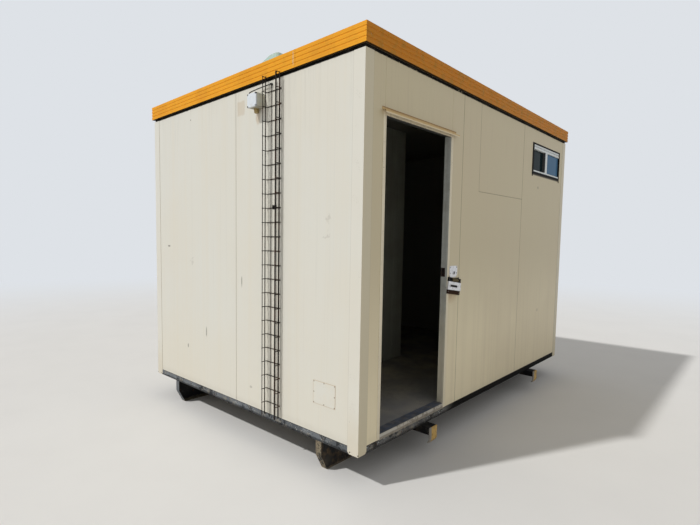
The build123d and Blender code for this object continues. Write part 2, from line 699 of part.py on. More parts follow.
def junction_box():
    """Box and lid on the left end wall, and the lead from its top to a gland in the wall."""
    high_y = BOX_SETBACK + BOX_WIDTH
    top = WALL_TOP_Z - BOX_TOP_GAP
    base = top - BOX_HEIGHT
    split = BOX_LID - BOX_DEPTH
    body = block((split, BOX_SETBACK, base), (0, high_y, top))
    body = fillet(body.edges().filter_by(Axis.X), BOX_ROUND)
    lid = block((-BOX_DEPTH, BOX_SETBACK, base), (split, high_y, top))
    lid = fillet(lid.edges().filter_by(Axis.X), BOX_ROUND)
    lid = chamfer(lid.faces().sort_by(Axis.X)[0].edges(), BOX_LID_EDGE)
    x = -LEAD_STANDOFF
    level = TRAY_CREST_Z - LEAD_DROP
    turns = [(x, LEAD_SETBACK, top), (x, LEAD_SETBACK, level), (x, LEAD_END, level)]
    path = FilletPolyline(*turns, radius=LEAD_BEND)
    lead = sweep(Plane(origin=path @ 0, z_dir=path % 0) * RegularPolygon(LEAD_RADIUS, LEAD_SIDES), path=path)
    gland = Pos(0, LEAD_END, level) * Rot(0, -90, 0) * Cylinder(
        GLAND_RADIUS, GLAND_REACH, align=(Align.CENTER, Align.CENTER, Align.MIN))
    return {"junction_box": body, "junction_box_lid": lid, "junction_lead": lead + gland}


def cover_plate():
    """Thin blanking plate low on the left end wall."""
    low = (-COVER_SHEET, COVER_SETBACK, COVER_BASE)
    return {"cover_plate": block(low, (0, COVER_SETBACK + COVER_WIDTH, COVER_BASE + COVER_HEIGHT))}


def main():
    """Draw every piece, put the origin under the middle of the whole, and write the files."""
    pieces = {}
    groups = (skids, lifting_beams, floor_frame, front_wall, other_walls, screen_wall, corner_trims, top_ring)
    groups += (roof, fascias, roof_cowl, door_frame, doorway, lock_fittings, window, wire_tray, junction_box)
    for group in groups + (cover_plate,):
        pieces.update(group())
    centre = Pos((BOX_DEPTH - LENGTH - FASCIA_OVERHANG) / 2, -WIDTH / 2, 0)
    os.makedirs("parts", exist_ok=True)
    for name, shape in pieces.items():
        export_step(centre * shape, f"parts/{name}.step")


main()
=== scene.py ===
from math import cos, pi, radians, sin

import bmesh
import bpy
from bpy.props import FloatProperty, FloatVectorProperty, IntProperty, PointerProperty
from mathutils import Matrix, Vector


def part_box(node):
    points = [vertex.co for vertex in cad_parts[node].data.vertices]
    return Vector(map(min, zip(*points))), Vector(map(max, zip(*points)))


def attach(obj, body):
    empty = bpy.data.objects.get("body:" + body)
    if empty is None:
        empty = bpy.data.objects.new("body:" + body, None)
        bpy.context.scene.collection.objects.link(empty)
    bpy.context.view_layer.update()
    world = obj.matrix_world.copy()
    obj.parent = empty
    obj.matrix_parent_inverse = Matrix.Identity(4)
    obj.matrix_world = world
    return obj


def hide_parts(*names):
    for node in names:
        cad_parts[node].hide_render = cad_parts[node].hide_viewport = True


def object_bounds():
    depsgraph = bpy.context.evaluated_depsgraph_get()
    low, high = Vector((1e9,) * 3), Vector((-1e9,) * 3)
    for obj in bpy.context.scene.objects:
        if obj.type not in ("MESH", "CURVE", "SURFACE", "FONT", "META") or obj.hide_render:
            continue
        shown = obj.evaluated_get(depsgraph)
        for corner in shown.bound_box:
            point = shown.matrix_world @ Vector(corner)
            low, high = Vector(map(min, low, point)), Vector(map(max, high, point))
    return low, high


bl_info = {
    "name": "Portable Site Cabin Finishes",
    "version": (1, 0, 0),
    "blender": (4, 5, 0),
    "location": "3D Viewport > Sidebar > Cabin",
    "description": "Paints and fits out a portable cabin of insulated panels on steel skids",
    "category": "3D View",
}

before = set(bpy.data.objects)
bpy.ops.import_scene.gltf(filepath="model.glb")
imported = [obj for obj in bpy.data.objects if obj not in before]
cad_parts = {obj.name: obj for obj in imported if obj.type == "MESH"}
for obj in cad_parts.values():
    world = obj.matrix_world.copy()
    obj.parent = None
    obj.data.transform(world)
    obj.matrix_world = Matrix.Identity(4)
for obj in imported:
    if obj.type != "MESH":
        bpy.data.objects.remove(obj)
LOW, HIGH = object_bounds()
# The outer faces of the walls, in metres: left, right, front and back, and their feet and heads
LEFT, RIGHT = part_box("left_wall_front")[0].x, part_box("right_wall_front")[1].x
FRONT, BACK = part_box("front_wall_middle")[0].y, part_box("back_wall_middle")[1].y
FOOT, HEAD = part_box("left_wall_front")[0].z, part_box("left_wall_front")[1].z
# Sizes of the solids that finishes and fixings go by: the trims' legs and sheet, how far the inner
# faces of rooms lie behind the outer ones, and the bars over and under the lock guard
TRIM_LEG, TRIM_SHEET = 0.080, 0.0016
LINING_DEPTH = 0.045
GUARD_BAR = 0.030
# Directions for masks that lie between two places, and for surfaces that look one way
ALONG, DEEP, UP = (1.0, 0.0, 0.0), (0.0, 1.0, 0.0), (0.0, 0.0, 1.0)
TO_LEFT, TO_FRONT, DOWN = (-1.0, 0.0, 0.0), (0.0, -1.0, 0.0), (0.0, 0.0, -1.0)
# How the key lamp's light travels over the floor
KEY_TRAVEL = (0.911, -0.412)
# How flat two faces lie when they count as one, and how near two points when they merge
FLAT, NEAR = radians(0.5), 0.00002


def eye(red, green, blue):
    """A colour as the eye reads it, from 0 to 255, turned into the linear values that shaders use."""
    parts = [v / 255 for v in (red, green, blue)]
    return tuple(v / 12.92 if v <= 0.04045 else ((v + 0.055) / 1.055) ** 2.4 for v in parts)


def swatch(name, description, *rgb):
    """A colour that the sidebar shows as a swatch."""
    return FloatVectorProperty(
        name=name, description=description, subtype="COLOR", size=3, min=0.0, max=1.0, default=eye(*rgb))


def metres(name, description, default):
    """A length in metres."""
    return FloatProperty(
        name=name, description=description, default=default, min=0.0, unit="LENGTH", subtype="DISTANCE",
        precision=4)


class CabinStageSettings(bpy.types.PropertyGroup):
    """Camera, lamps and floor."""
    camera_place: FloatVectorProperty(
        name="Camera place", description="Where the camera stands", subtype="TRANSLATION", unit="LENGTH",
        default=(-3.886, -2.813, 1.480))
    camera_heading: FloatProperty(
        name="Heading", description="Turn of the camera from straight at the front wall", subtype="ANGLE",
        unit="ROTATION", default=radians(44.37))
    camera_dip: FloatProperty(
        name="Dip", description="How far the camera looks down", subtype="ANGLE", unit="ROTATION",
        default=radians(4.37))
    camera_roll: FloatProperty(
        name="Roll", description="Tilt of the camera about its own line of sight", subtype="ANGLE",
        unit="ROTATION", default=radians(0.45))
    lens: FloatProperty(
        name="Lens", description="Focal length on a 36 mm sensor", default=23.74, unit="CAMERA")
    shift: FloatVectorProperty(name="Shift", description="Shift of the frame", size=2, default=(0.080, 0.018))
    key_strength: FloatProperty(
        name="Key strength", description="Light of the key lamp", default=2.02, min=0.0)
    key_softness: FloatProperty(
        name="Key softness", description="How wide the key lamp looks from the cabin", subtype="ANGLE",
        unit="ROTATION", default=radians(2.2))
    key_height: FloatProperty(
        name="Key height", description="How high the key lamp stands over the floor", subtype="ANGLE",
        unit="ROTATION", default=radians(48.0))
    sky_strength: FloatProperty(
        name="Soft light", description="Even light from all round", default=0.445, min=0.0)
    floor_colour: swatch("Floor", "Pale studio floor", 226, 224, 220)
    backdrop_colour: swatch("Backdrop", "Pale studio backdrop", 222, 226, 231)


class CabinPaintSettings(bpy.types.PropertyGroup):
    """Colours of coats, metals, plastics and dirt."""
    wall: swatch("Walls", "Cream coat of the wall skins", 220, 218, 208)
    # Painted shade: the front wall's cream is darker and warmer than the left wall's, standing in for the shade
    # it lies in, over a film of dust.
    wall_front: swatch("Front wall", "Cream coat of the front wall under a film of dust", 205, 193, 161)
    # Painted light: the front wall turns paler towards its foot, standing in for light thrown up from the floor.
    wall_low_painted_light: swatch("Front wall, low", "Cream coat where rain has washed the front wall", 250, 238, 203)
    wall_warm: swatch("Warm patches", "Coat that has yellowed", 220, 212, 193)
    grime: swatch("Grime", "Old dirt that water leaves on a coat", 120, 110, 94)
    dust: swatch("Dust", "Pale dry dust", 205, 190, 160)
    scuff: swatch("Scuffs", "Dark rubbed marks", 92, 84, 72)
    stain: swatch("Stains", "Brown stains", 176, 142, 96)
    rust: swatch("Rust", "Rust on bare steel", 110, 62, 34)
    trim: swatch("Corner trims", "Folded angles on the corners", 221, 218, 207)
    fascia: swatch("Fascia", "Orange coat of the fascias", 240, 166, 38)
    # Used for faded blotches, and as painted shade on the fascias' front faces and in their grooves.
    fascia_dull_and_shaded: swatch("Fascia, dull", "Orange coat gone brown", 190, 118, 26)
    moss: swatch("Green film", "Thin green film on sheltered coats", 116, 112, 48)
    black: swatch("Black band", "Black coat under the fascia", 18, 17, 15)
    roof: swatch("Roof sheets", "Coated roof sheets", 204, 204, 197)
    cowl: swatch("Cowl", "Weathered plastic of the roof cowl", 158, 192, 182)
    rail: swatch("Base rails", "Worn blue-grey coat of the base rails", 112, 116, 120)
    pale_wear: swatch("Pale wear", "Primer and scratches that show pale through a dark coat", 205, 208, 206)
    skid: swatch("Skids", "Black coat of skids and beams", 27, 27, 28)
    # Partly painted light: the brown stands for dirt and for light thrown up from the ground onto the skid's near
    # side.
    skid_dirt_and_bounce: swatch("Skid dirt", "Brown dirt on the skid's web", 92, 76, 56)
    skid_edge: swatch("Skid edges", "Tan dust and primer on the skid's worn edge", 146, 134, 112)
    bare_steel: swatch("Bare steel", "Steel where the coat is gone", 128, 126, 122)
    stop: swatch("Stop plates", "Yellow coat of the stop plates", 196, 160, 88)
    jamb: swatch("Door frame", "Cream coat of the door frame's face", 228, 217, 190)
    jamb_grey: swatch("Reveal", "Greyed inside of the door frame", 190, 193, 188)
    sill: swatch("Sill", "Scuffed steel of the sill", 98, 108, 128)
    drip: swatch("Drip", "Faded flashing over the doorway", 206, 178, 124)
    deck: swatch("Deck", "Floor sheet", 126, 123, 116)
    # Painted light: the deck is paler by the doorway, where daylight falls in through the door.
    floor_painted_light: swatch("Deck by the doorway", "Floor sheet that feet have worn pale", 160, 162, 168)
    screen: swatch("Screen wall", "Screen wall behind the doorway", 160, 163, 151)
    lining: swatch("Lining", "Dull lining of the rooms", 112, 110, 100)
    # Near-black used as painted shade in gaps, behind and under parts and on undersides, and as the real black of
    # the window surround and the lid's screws.
    shade: swatch("Undersides", "Black of gaps and undersides", 16, 15, 13)
    # Along the trims' edges the joints' colour is laid as painted shadow, with dirt.
    seam: swatch("Joints", "Shadowed dirt in the joints between panels", 118, 108, 88)
    lock: swatch("Lock", "Worn white metal of the lock", 228, 227, 228)
    dark: swatch("Dark metal", "Blackened metal", 38, 36, 34)
    rubber: swatch("Rubber", "Black rubber and cable sheath", 30, 30, 31)
    box: swatch("Box", "Aged plastic of the junction box", 214, 214, 197)
    lid: swatch("Lid", "Cool white plastic of the lid", 220, 226, 231)
    brass: swatch("Brass", "Dull brass of the gland under the box", 176, 152, 100)
    window_white: swatch("Window frame", "White coat of the window's frame", 218, 224, 224)
    # Painted reflection and shade: the panes are the same glass; the left one's dark teal stands for the dark
    # room behind it, the right one's blue for the sky it reflects.
    glass_left: swatch("Left pane", "Glass of the left pane", 16, 36, 41)
    glass_right: swatch("Right pane", "Glass of the right pane", 69, 110, 144)
    wires: swatch("Tray wires", "Dark coat of the tray's wires", 26, 22, 19)
    bolt_dirt: swatch("Bolt dirt", "Tan dirt about the bolt of the lock guard", 108, 96, 70)
    bar_rust: swatch("Lower bar", "Dark rust of the lock guard's lower bar", 52, 36, 26)
    worn_rubber: swatch("Worn rubber", "Rubber gone grey", 70, 70, 68)
    worn_sheath: swatch("Worn sheath", "Cable sheath gone grey", 64, 62, 58)
    rivet: swatch("Rivets", "Dull rivets of the cover plate", 150, 140, 122)


class CabinFixingSettings(bpy.types.PropertyGroup):
    """Rivets and screws."""
    rivet_width: metres("Rivet", "Width of a pop rivet's head", 0.0080)
    rivet_height: metres("Rivet height", "How far a pop rivet's head stands out", 0.0018)
    screw_width: metres("Screw", "Width of a pan head screw", 0.0080)
    screw_height: metres("Screw height", "How far a pan head screw stands out", 0.0016)
    roof_screw_width: metres("Roof screw", "Width of a roof screw's washer", 0.0160)
    roof_screw_height: metres("Roof screw height", "Height of a roof screw's head", 0.0070)
    roof_screw_spacing: metres("Roof screw spacing", "Distance between roof screws along a rib", 0.45)
    cover_margin: metres("Cover margin", "From the cover plate's edge to its rivets", 0.0065)
    sides: IntProperty(name="Sides", description="Sides of a round head", default=12, min=6, max=24)


class CabinTraySettings(bpy.types.PropertyGroup):
    """The wire tray on the left end wall."""
    wire_width: metres("Wire", "Thickness of the tray's wires", 0.0055)
    bend: metres("Bend", "Radius of the cross wires' bends", 0.0080)
    pitch: metres("Pitch", "Distance between cross wires", 0.0974)
    rows: IntProperty(name="Cross wires", description="Number of cross wires", default=23, min=1)
    mid: metres("Middle wire", "From the wall to the far side's inner long wire", 0.0225)
    close: metres("Near inner wire", "From the wall to the near side's inner long wire", 0.0140)
    near_extra: FloatProperty(
        name="Near wires", description="How much thicker the near side's long wires are, as a share",
        default=1.0, min=0.0)
    mid_extra: FloatProperty(
        name="Middle wire, extra", description="How much thicker the far side's inner wire is, as a share",
        default=0.3, min=0.0)
    drop: metres("Drop", "From the top of the tray's space to its first wire", 0.0060)
    base_inset: metres("Base wires", "From the tray's side to its first base wire", 0.050)
    base_pitch: metres("Base pitch", "Distance between base wires", 0.050)
    clip_level: metres("Clip level", "Height of the bolted strap", 1.695)


class CabinFittingSettings(bpy.types.PropertyGroup):
    """Sizes of the window's rubber, the lock, the box and its lead."""
    gasket: metres("Gasket", "Width of the rubber round the panes", 0.0040)
    keyhole: metres("Keyhole", "Height of the keyhole", 0.0160)
    guard_drop: metres("Guard drop", "How far the slotted guard hangs under its place", 0.0040)
    guard_tilt: FloatProperty(
        name="Guard tilt", description="How far the slotted guard hangs out of level", subtype="ANGLE",
        unit="ROTATION", default=radians(8.0))
    lead_width: metres("Lead", "Thickness of the lead", 0.0070)
    gland_width: metres("Gland", "Width of the lead's gland", 0.0160)


# Putting nodes together

def put(tree, kind, values=None, **settings):
    """One node with its settings. An input takes a number, a colour or another node's output."""
    node = tree.nodes.new(kind)
    for name, value in settings.items():
        setattr(node, name, value)
    for key, value in (values or {}).items():
        socket = node.inputs[key]
        if isinstance(value, bpy.types.NodeSocket):
            tree.links.new(value, socket)
        elif socket.type == "RGBA" and len(value) == 3:
            socket.default_value = (*value, 1.0)
        else:
            socket.default_value = value
    return node


def calc(tree, how, a, b=0.0, c=0.0, clamp=False):
    """One step of arithmetic."""
    return put(tree, "ShaderNodeMath", {0: a, 1: b, 2: c}, operation=how, use_clamp=clamp).outputs[0]


def vector_step(tree, how, a, b=(0.0, 0.0, 0.0)):
    """One step of arithmetic on vectors, which gives a vector or a number."""
    node = put(tree, "ShaderNodeVectorMath", {0: a, 1: b}, operation=how)
    return node.outputs["Value" if how in {"DOT_PRODUCT", "LENGTH"} else "Vector"]


def upwards(tree, height, across=0.0):
    """A vector with a height, and one number for both ways across."""
    return put(tree, "ShaderNodeCombineXYZ", {0: across, 1: across, 2: height}).outputs[0]


def rise(tree, value, low, high):
    """0 below low, 1 above high, and smooth between."""
    node = put(tree, "ShaderNodeMapRange", {"Value": value, "From Min": low, "From Max": high},
               interpolation_type="SMOOTHSTEP")
    return node.outputs[0]


def place(tree):
    """Where a point of the piece lies, in metres."""
    return put(tree, "ShaderNodeTexCoord").outputs["Object"]


def noise(tree, size=None, detail=4.0, roughness=0.55, scale=1.0, vector=None):
    """Smooth random values about one half, in clouds of a size in metres."""
    if vector is None:
        vector = place(tree)
    if size is not None:
        scale = calc(tree, "DIVIDE", 1.0, size)
    node = put(tree, "ShaderNodeTexNoise",
               {"Vector": vector, "Scale": scale, "Detail": detail, "Roughness": roughness})
    return node.outputs[0]


def drawn_out(tree, vector, width, length):
    """A place counted in widths across and in lengths upwards."""
    across = calc(tree, "DIVIDE", 1.0, width)
    return vector_step(tree, "MULTIPLY", vector, upwards(tree, calc(tree, "DIVIDE", 1.0, length), across))


def mixed(tree, share, first, second):
    """A blend of two colours, or of two numbers."""
    # The node keeps its inputs and outputs for numbers and for colours under different indices
    kind, a, b, result = ("FLOAT", 2, 3, 0) if isinstance(second, float) else ("RGBA", 6, 7, 2)
    return put(tree, "ShaderNodeMix", {0: share, a: first, b: second}, data_type=kind).outputs[result]


def empty_tree(owner):
    """The node tree of a new material or world, with nothing in it."""
    owner.use_nodes = True
    owner.node_tree.nodes.clear()
    return owner.node_tree


# Masks that several finishes share. Each takes its sizes in metres.

def blotches(tree, given):
    """Soft clouds."""
    return rise(tree, noise(tree, given["Size"]), given["Low"], given["High"])


def grain(tree, given):
    """Fine even texture."""
    return noise(tree, given["Size"], detail=2.0)


def streaks(tree, given):
    """Upright runs that water leaves."""
    vector = drawn_out(tree, place(tree), given["Width"], given["Length"])
    return rise(tree, noise(tree, detail=3.0, vector=vector), given["Low"], given["High"])


def chips(tree, given):
    """Ragged patches with sharp edges, where a coat has come away."""
    value = noise(tree, given["Size"], detail=8.0, roughness=0.68)
    return rise(tree, value, given["Level"], calc(tree, "ADD", given["Level"], 0.02))


def specks(tree, given):
    """Small separate dots."""
    inverse = calc(tree, "DIVIDE", 1.0, given["Size"])
    cells = put(tree, "ShaderNodeTexVoronoi", {"Vector": place(tree), "Scale": inverse})
    dot = calc(tree, "SUBTRACT", 1.0, rise(tree, cells.outputs["Distance"], 0.16, 0.30))
    chance = put(tree, "ShaderNodeSeparateColor", {0: cells.outputs["Color"]}).outputs[0]
    return calc(tree, "MULTIPLY", dot, calc(tree, "LESS_THAN", chance, given["Share"]))


def scratches(tree, given):
    """Thin lines that run in two directions, in patches."""
    lines = []
    for turn in ((0.35, 0.9, 0.5), (-0.6, 0.25, -0.8)):
        turned = put(tree, "ShaderNodeVectorRotate", {"Vector": place(tree), "Rotation": turn},
                     rotation_type="EULER_XYZ").outputs[0]
        vector = drawn_out(tree, turned, given["Width"], given["Length"])
        lines.append(rise(tree, noise(tree, detail=1.0, vector=vector), 0.66, 0.70))
    both = calc(tree, "MAXIMUM", *lines)
    parts = noise(tree, detail=2.0, scale=calc(tree, "DIVIDE", 0.8, given["Length"]))
    parts = rise(tree, parts, given["Level"], calc(tree, "ADD", given["Level"], 0.1))
    return calc(tree, "MULTIPLY", both, parts)


def wandering(tree, given, distance, detail=4.0):
    """A distance made ragged."""
    wander = calc(tree, "SUBTRACT", noise(tree, given["Grain"], detail=detail), 0.5)
    return calc(tree, "MULTIPLY_ADD", wander, given["Ragged"], distance)


def between(tree, given):
    """The part between two places along a direction, with soft or ragged limits."""
    along = wandering(tree, given, vector_step(tree, "DOT_PRODUCT", place(tree), given["Direction"]))
    limits = [rise(tree, along, calc(tree, "SUBTRACT", given[end], given["Soft"]),
                   calc(tree, "ADD", given[end], given["Soft"])) for end in ("From", "To")]
    return calc(tree, "SUBTRACT", *limits, clamp=True)


def spot(tree, given):
    """One patch about a centre."""
    offset = vector_step(tree, "SUBTRACT", place(tree), given["Centre"])
    far = vector_step(tree, "LENGTH", vector_step(tree, "DIVIDE", offset, given["Reach"]))
    far = wandering(tree, given, far, detail=5.0)
    low = calc(tree, "SUBTRACT", 1.0, given["Soft"])
    return calc(tree, "SUBTRACT", 1.0, rise(tree, far, low, calc(tree, "ADD", 1.0, given["Soft"])))


def facing(tree, given):
    """Surfaces that look one way, such as up, where dust settles."""
    normal = put(tree, "ShaderNodeNewGeometry").outputs["Normal"]
    share = vector_step(tree, "DOT_PRODUCT", normal, given["Direction"])
    return rise(tree, share, given["Low"], given["High"])


EFFECTS = {
    "blotches": (blotches, {"Size": 0.5, "Low": 0.4, "High": 0.7}),
    "grain": (grain, {"Size": 0.002}),
    "streaks": (streaks, {"Width": 0.03, "Length": 1.5, "Low": 0.5, "High": 0.75}),
    "chips": (chips, {"Size": 0.05, "Level": 0.6}),
    "specks": (specks, {"Size": 0.02, "Share": 0.2}),
    "scratches": (scratches, {"Length": 0.15, "Width": 0.002, "Level": 0.5}),
    "between": (between, {
        "Direction": UP, "From": 0.0, "To": 1.0, "Soft": 0.01, "Ragged": 0.0, "Grain": 0.05}),
    "spot": (spot, {
        "Centre": (0.0, 0.0, 0.0), "Reach": (0.1, 0.1, 0.1), "Soft": 0.4, "Ragged": 0.8, "Grain": 0.02}),
    "facing": (facing, {"Direction": UP, "Low": 0.5, "High": 0.9}),
}


def effect_group(name):
    """The shader group of one mask, made when it is first wanted."""
    found = bpy.data.node_groups.get(name)
    if found:
        return found
    build, defaults = EFFECTS[name]
    group = bpy.data.node_groups.new(name, "ShaderNodeTree")
    for label, value in defaults.items():
        kind = "NodeSocketVector" if isinstance(value, tuple) else "NodeSocketFloat"
        group.interface.new_socket(name=label, in_out="INPUT", socket_type=kind).default_value = value
    group.interface.new_socket(name="Mask", in_out="OUTPUT", socket_type="NodeSocketFloat")
    given = put(group, "NodeGroupInput").outputs
    put(group, "NodeGroupOutput", {"Mask": build(group, given)})
    return group


def mask_of(tree, masks):
    """One mask, or the product of a list of them. A mask is an effect's name and its sizes in order."""
    total = None
    for name, *sizes in [masks] if isinstance(masks, tuple) else masks:
        node = tree.nodes.new("ShaderNodeGroup")
        node.node_tree = effect_group(name)
        for label, value in zip(EFFECTS[name][1], sizes):
            node.inputs[label].default_value = value
        total = node.outputs[0] if total is None else calc(tree, "MULTIPLY", total, node.outputs[0])
    return total


def relief(grain_size, grain_height, dent_size=None, dent_height=None):
    """Bumps of a fine grain, and of soft dents where they are given."""
    dents = [(("blotches", dent_size), dent_height)] if dent_size else []
    return [(("grain", grain_size), grain_height), *dents]


def tint(name):
    """A colour of the sidebar's, by its name."""
    return tuple(getattr(bpy.context.scene.cabin_paint, name))


def coat(name, colour, rough, layers=(), bumps=(), metal=0.0, gloss=0.5):
    """A finish: a ground colour, layers laid on it through masks, and relief in metres.

    A layer is (masks, colour, share, roughness), and a roughness of None leaves it as it is. A bump is
    (masks, height). The metal is a number, or masks and a number where only a part is bare metal.
    """
    material = bpy.data.materials.new(name)
    tree = empty_tree(material)
    shade, matt = tint(colour), rough
    for masks, laid, share, matt_there in layers:
        mask = mask_of(tree, masks)
        if share != 1.0:
            mask = calc(tree, "MULTIPLY", mask, share)
        shade = mixed(tree, mask, shade, tint(laid))
        if matt_there is not None:
            matt = mixed(tree, mask, matt, matt_there)
    if isinstance(metal, tuple):
        metal = calc(tree, "MULTIPLY", mask_of(tree, metal[0]), metal[1])
    values = {"Base Color": shade, "Roughness": matt, "Metallic": metal, "Specular IOR Level": gloss}
    height = None
    for masks, depth in bumps:
        step = calc(tree, "MULTIPLY", mask_of(tree, masks), depth)
        height = step if height is None else calc(tree, "ADD", height, step)
    if height is not None:
        values["Normal"] = put(tree, "ShaderNodeBump", {"Height": height, "Distance": 1.0}).outputs[0]
    shader = put(tree, "ShaderNodeBsdfPrincipled", values)
    put(tree, "ShaderNodeOutputMaterial", {"Surface": shader.outputs[0]})
    return material


def dress(material, *nodes):
    """Gives CAD nodes their finish."""
    for name in nodes:
        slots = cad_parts[name].material_slots
        if not slots:
            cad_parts[name].data.materials.append(material)
        for held in slots:
            held.material = material


def bevel(piece, width, segments=2):
    """Rounds the sharp edges of one piece."""
    held = piece.modifiers.new("Ease edges", "BEVEL")
    held.width, held.segments, held.limit_method, held.angle_limit = width, segments, "ANGLE", radians(30)


def ease(width, *nodes, segments=2):
    """Rounds the edges of CAD nodes: merges their triangles, joins flat ones and bevels what is left."""
    for name in nodes:
        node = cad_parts[name]
        node.modifiers.new("Merge", "WELD").merge_threshold = NEAR
        flat = node.modifiers.new("Join flat faces", "DECIMATE")
        flat.decimate_type, flat.angle_limit = "DISSOLVE", FLAT
        bevel(node, width, segments)


# Making pieces

def add_object(name, data):
    """A new object in the scene."""
    thing = bpy.data.objects.new(name, data)
    bpy.context.scene.collection.objects.link(thing)
    return thing


def new_piece(name, mesh, material, slot, *replaced):
    """Puts a finished mesh into the cabin as a piece that rides on its body."""
    piece = add_object(name, mesh)
    if material is not None:
        piece.data.materials.clear()
        piece.data.materials.append(material)
    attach(piece, "root")
    if replaced:
        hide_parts(*replaced)
    return piece


def mesh_from(name, build):
    """A mesh made in a bmesh, with its doubles merged and its faces turned outwards."""
    work = bmesh.new()
    build(work)
    bmesh.ops.remove_doubles(work, verts=work.verts, dist=0.00001)
    bmesh.ops.recalc_face_normals(work, faces=work.faces)
    mesh = bpy.data.meshes.new(name)
    work.to_mesh(mesh)
    work.free()
    return mesh


def add_block(work, low, high, ease_by=0.0):
    """A box between two corners, with its edges rounded."""
    corners = bmesh.ops.create_cube(work, size=1.0)["verts"]
    size = Vector(high) - Vector(low)
    centre = (Vector(high) + Vector(low)) / 2
    for v in corners:
        v.co = Vector([v.co[i] * size[i] + centre[i] for i in range(3)])
    if ease_by:
        edges = list({e for v in corners for e in v.link_edges})
        bmesh.ops.bevel(work, geom=edges, offset=ease_by, segments=2, affect="EDGES", profile=0.5)


def skin_rings(work, rings):
    """Faces between rings of corners, and over the first and the last."""
    count = len(rings[0])
    for a, b in zip(rings, rings[1:]):
        for i in range(count):
            j = (i + 1) % count
            work.faces.new((a[i], a[j], b[j], b[i]))
    work.faces.new(rings[0][::-1])
    work.faces.new(rings[-1])


def add_turned(work, start, direction, profile, sides=24):
    """A turned piece: its profile is (distance along, radius), and it is closed at both ends."""
    direction = Vector(direction).normalized()
    aside = direction.orthogonal().normalized()
    other = direction.cross(aside)
    turns = [2 * pi * i / sides for i in range(sides)]
    rings = []
    for far, radius in profile:
        middle = Vector(start) + direction * far
        rings.append([
            work.verts.new(middle + (aside * cos(turn) + other * sin(turn)) * radius) for turn in turns])
    skin_rings(work, rings)


def evaluated_mesh(thing, name):
    """The plain mesh that an object's modifiers or curve give, and the object is taken away."""
    graph = bpy.context.evaluated_depsgraph_get()
    mesh = bpy.data.meshes.new_from_object(thing.evaluated_get(graph))
    mesh.name = name
    bpy.data.objects.remove(thing)
    return mesh


def node_run(name, mesh, tree, **sizes):
    """Runs a Geometry Nodes tree on a mesh of marks and gives the mesh that it makes."""
    marks = add_object(name + "_marks", mesh)
    modifier = marks.modifiers.new(name, "NODES")
    modifier.node_group = tree
    sockets = {s.name: s.identifier for s in tree.interface.items_tree if s.in_out == "INPUT"}
    for label, value in sizes.items():
        modifier[sockets[label.replace("_", " ")]] = value
    return evaluated_mesh(marks, name)


def geometry_tree(name, **inputs):
    """An empty Geometry Nodes tree with named inputs, and its input node."""
    tree = bpy.data.node_groups.new(name, "GeometryNodeTree")
    kinds = {float: "NodeSocketFloat", int: "NodeSocketInt", bpy.types.Material: "NodeSocketMaterial"}
    tree.interface.new_socket(name="Geometry", in_out="INPUT", socket_type="NodeSocketGeometry")
    for label, kind in inputs.items():
        tree.interface.new_socket(name=label.replace("_", " "), in_out="INPUT", socket_type=kinds[kind])
    tree.interface.new_socket(name="Geometry", in_out="OUTPUT", socket_type="NodeSocketGeometry")
    return tree, put(tree, "NodeGroupInput").outputs


def shape(tree, kind, values=None, **settings):
    """One Geometry Nodes step, by the last words of its name, and what it gives."""
    return put(tree, "GeometryNode" + kind, values, **settings).outputs[0]


def finish_tree(tree, geometry, material):
    """Ends a tree: instances made real, and one material on everything."""
    real = shape(tree, "RealizeInstances", {"Geometry": geometry})
    done = shape(tree, "SetMaterial", {"Geometry": real, "Material": material})
    put(tree, "NodeGroupOutput", {"Geometry": done})


def attribute(tree, name, kind="FLOAT"):
    """What the marks carry under a name."""
    return shape(tree, "InputNamedAttribute", {"Name": name}, data_type=kind)


def joined(tree, *parts):
    """Several geometries as one."""
    join = tree.nodes.new("GeometryNodeJoinGeometry")
    for part in parts:
        tree.links.new(part, join.inputs[0])
    return join.outputs[0]


def cone(tree, sides, low, high, depth):
    """A closed cone whose lower and upper radii are given."""
    return shape(tree, "MeshCone", {
        "Vertices": sides, "Radius Top": high, "Radius Bottom": low, "Depth": depth}, fill_type="NGON")


def heads_tree():
    """Geometry Nodes: a stepped round head at each mark, square to the surface the mark faces out of."""
    found = bpy.data.node_groups.get("fixing_heads")
    if found:
        return found
    tree, given = geometry_tree("fixing_heads", Width=float, Height=float, Sides=int, Head_Sides=int,
                                Head_Share=float, Finish=bpy.types.Material)
    radius = calc(tree, "MULTIPLY", given["Width"], 0.5)
    flange = calc(tree, "MULTIPLY", given["Height"], 0.4)
    sunk = calc(tree, "MULTIPLY", given["Height"], -0.25)
    brim = cone(tree, given["Sides"], radius, calc(tree, "MULTIPLY", radius, 0.9),
                calc(tree, "SUBTRACT", flange, sunk))
    brim = shape(tree, "Transform", {"Geometry": brim, "Translation": upwards(tree, sunk)})
    inner = calc(tree, "MULTIPLY", radius, given["Head Share"])
    crown = cone(tree, given["Head Sides"], inner, calc(tree, "MULTIPLY", inner, 0.7), given["Height"])
    way = attribute(tree, "facing", "FLOAT_VECTOR")
    turn = put(tree, "FunctionNodeAlignRotationToVector", {"Vector": way}, axis="Z").outputs[0]
    heads = shape(tree, "InstanceOnPoints", {
        "Points": given["Geometry"], "Instance": joined(tree, brim, crown), "Rotation": turn})
    finish_tree(tree, heads, given["Finish"])
    return tree


def fixings(name, marks, width, height, material, slot, head_sides=12, share=0.6):
    """Rivets or screws at the marks, each a place and the direction that it faces."""
    mesh = bpy.data.meshes.new(name + "_marks")
    mesh.from_pydata([tuple(p) for p, _ in marks], [], [])
    facing_ways = mesh.attributes.new("facing", "FLOAT_VECTOR", "POINT")
    facing_ways.data.foreach_set("vector", [v for _, way in marks for v in way])
    made = node_run(name, mesh, heads_tree(), Width=width, Height=height, Head_Sides=head_sides,
                    Head_Share=share, Sides=bpy.context.scene.cabin_fixings.sides, Finish=material)
    return new_piece(name, made, None, slot)


# What a mark of the tray stands for
UPRIGHT, CROSS, STUB = 0, 1, 2


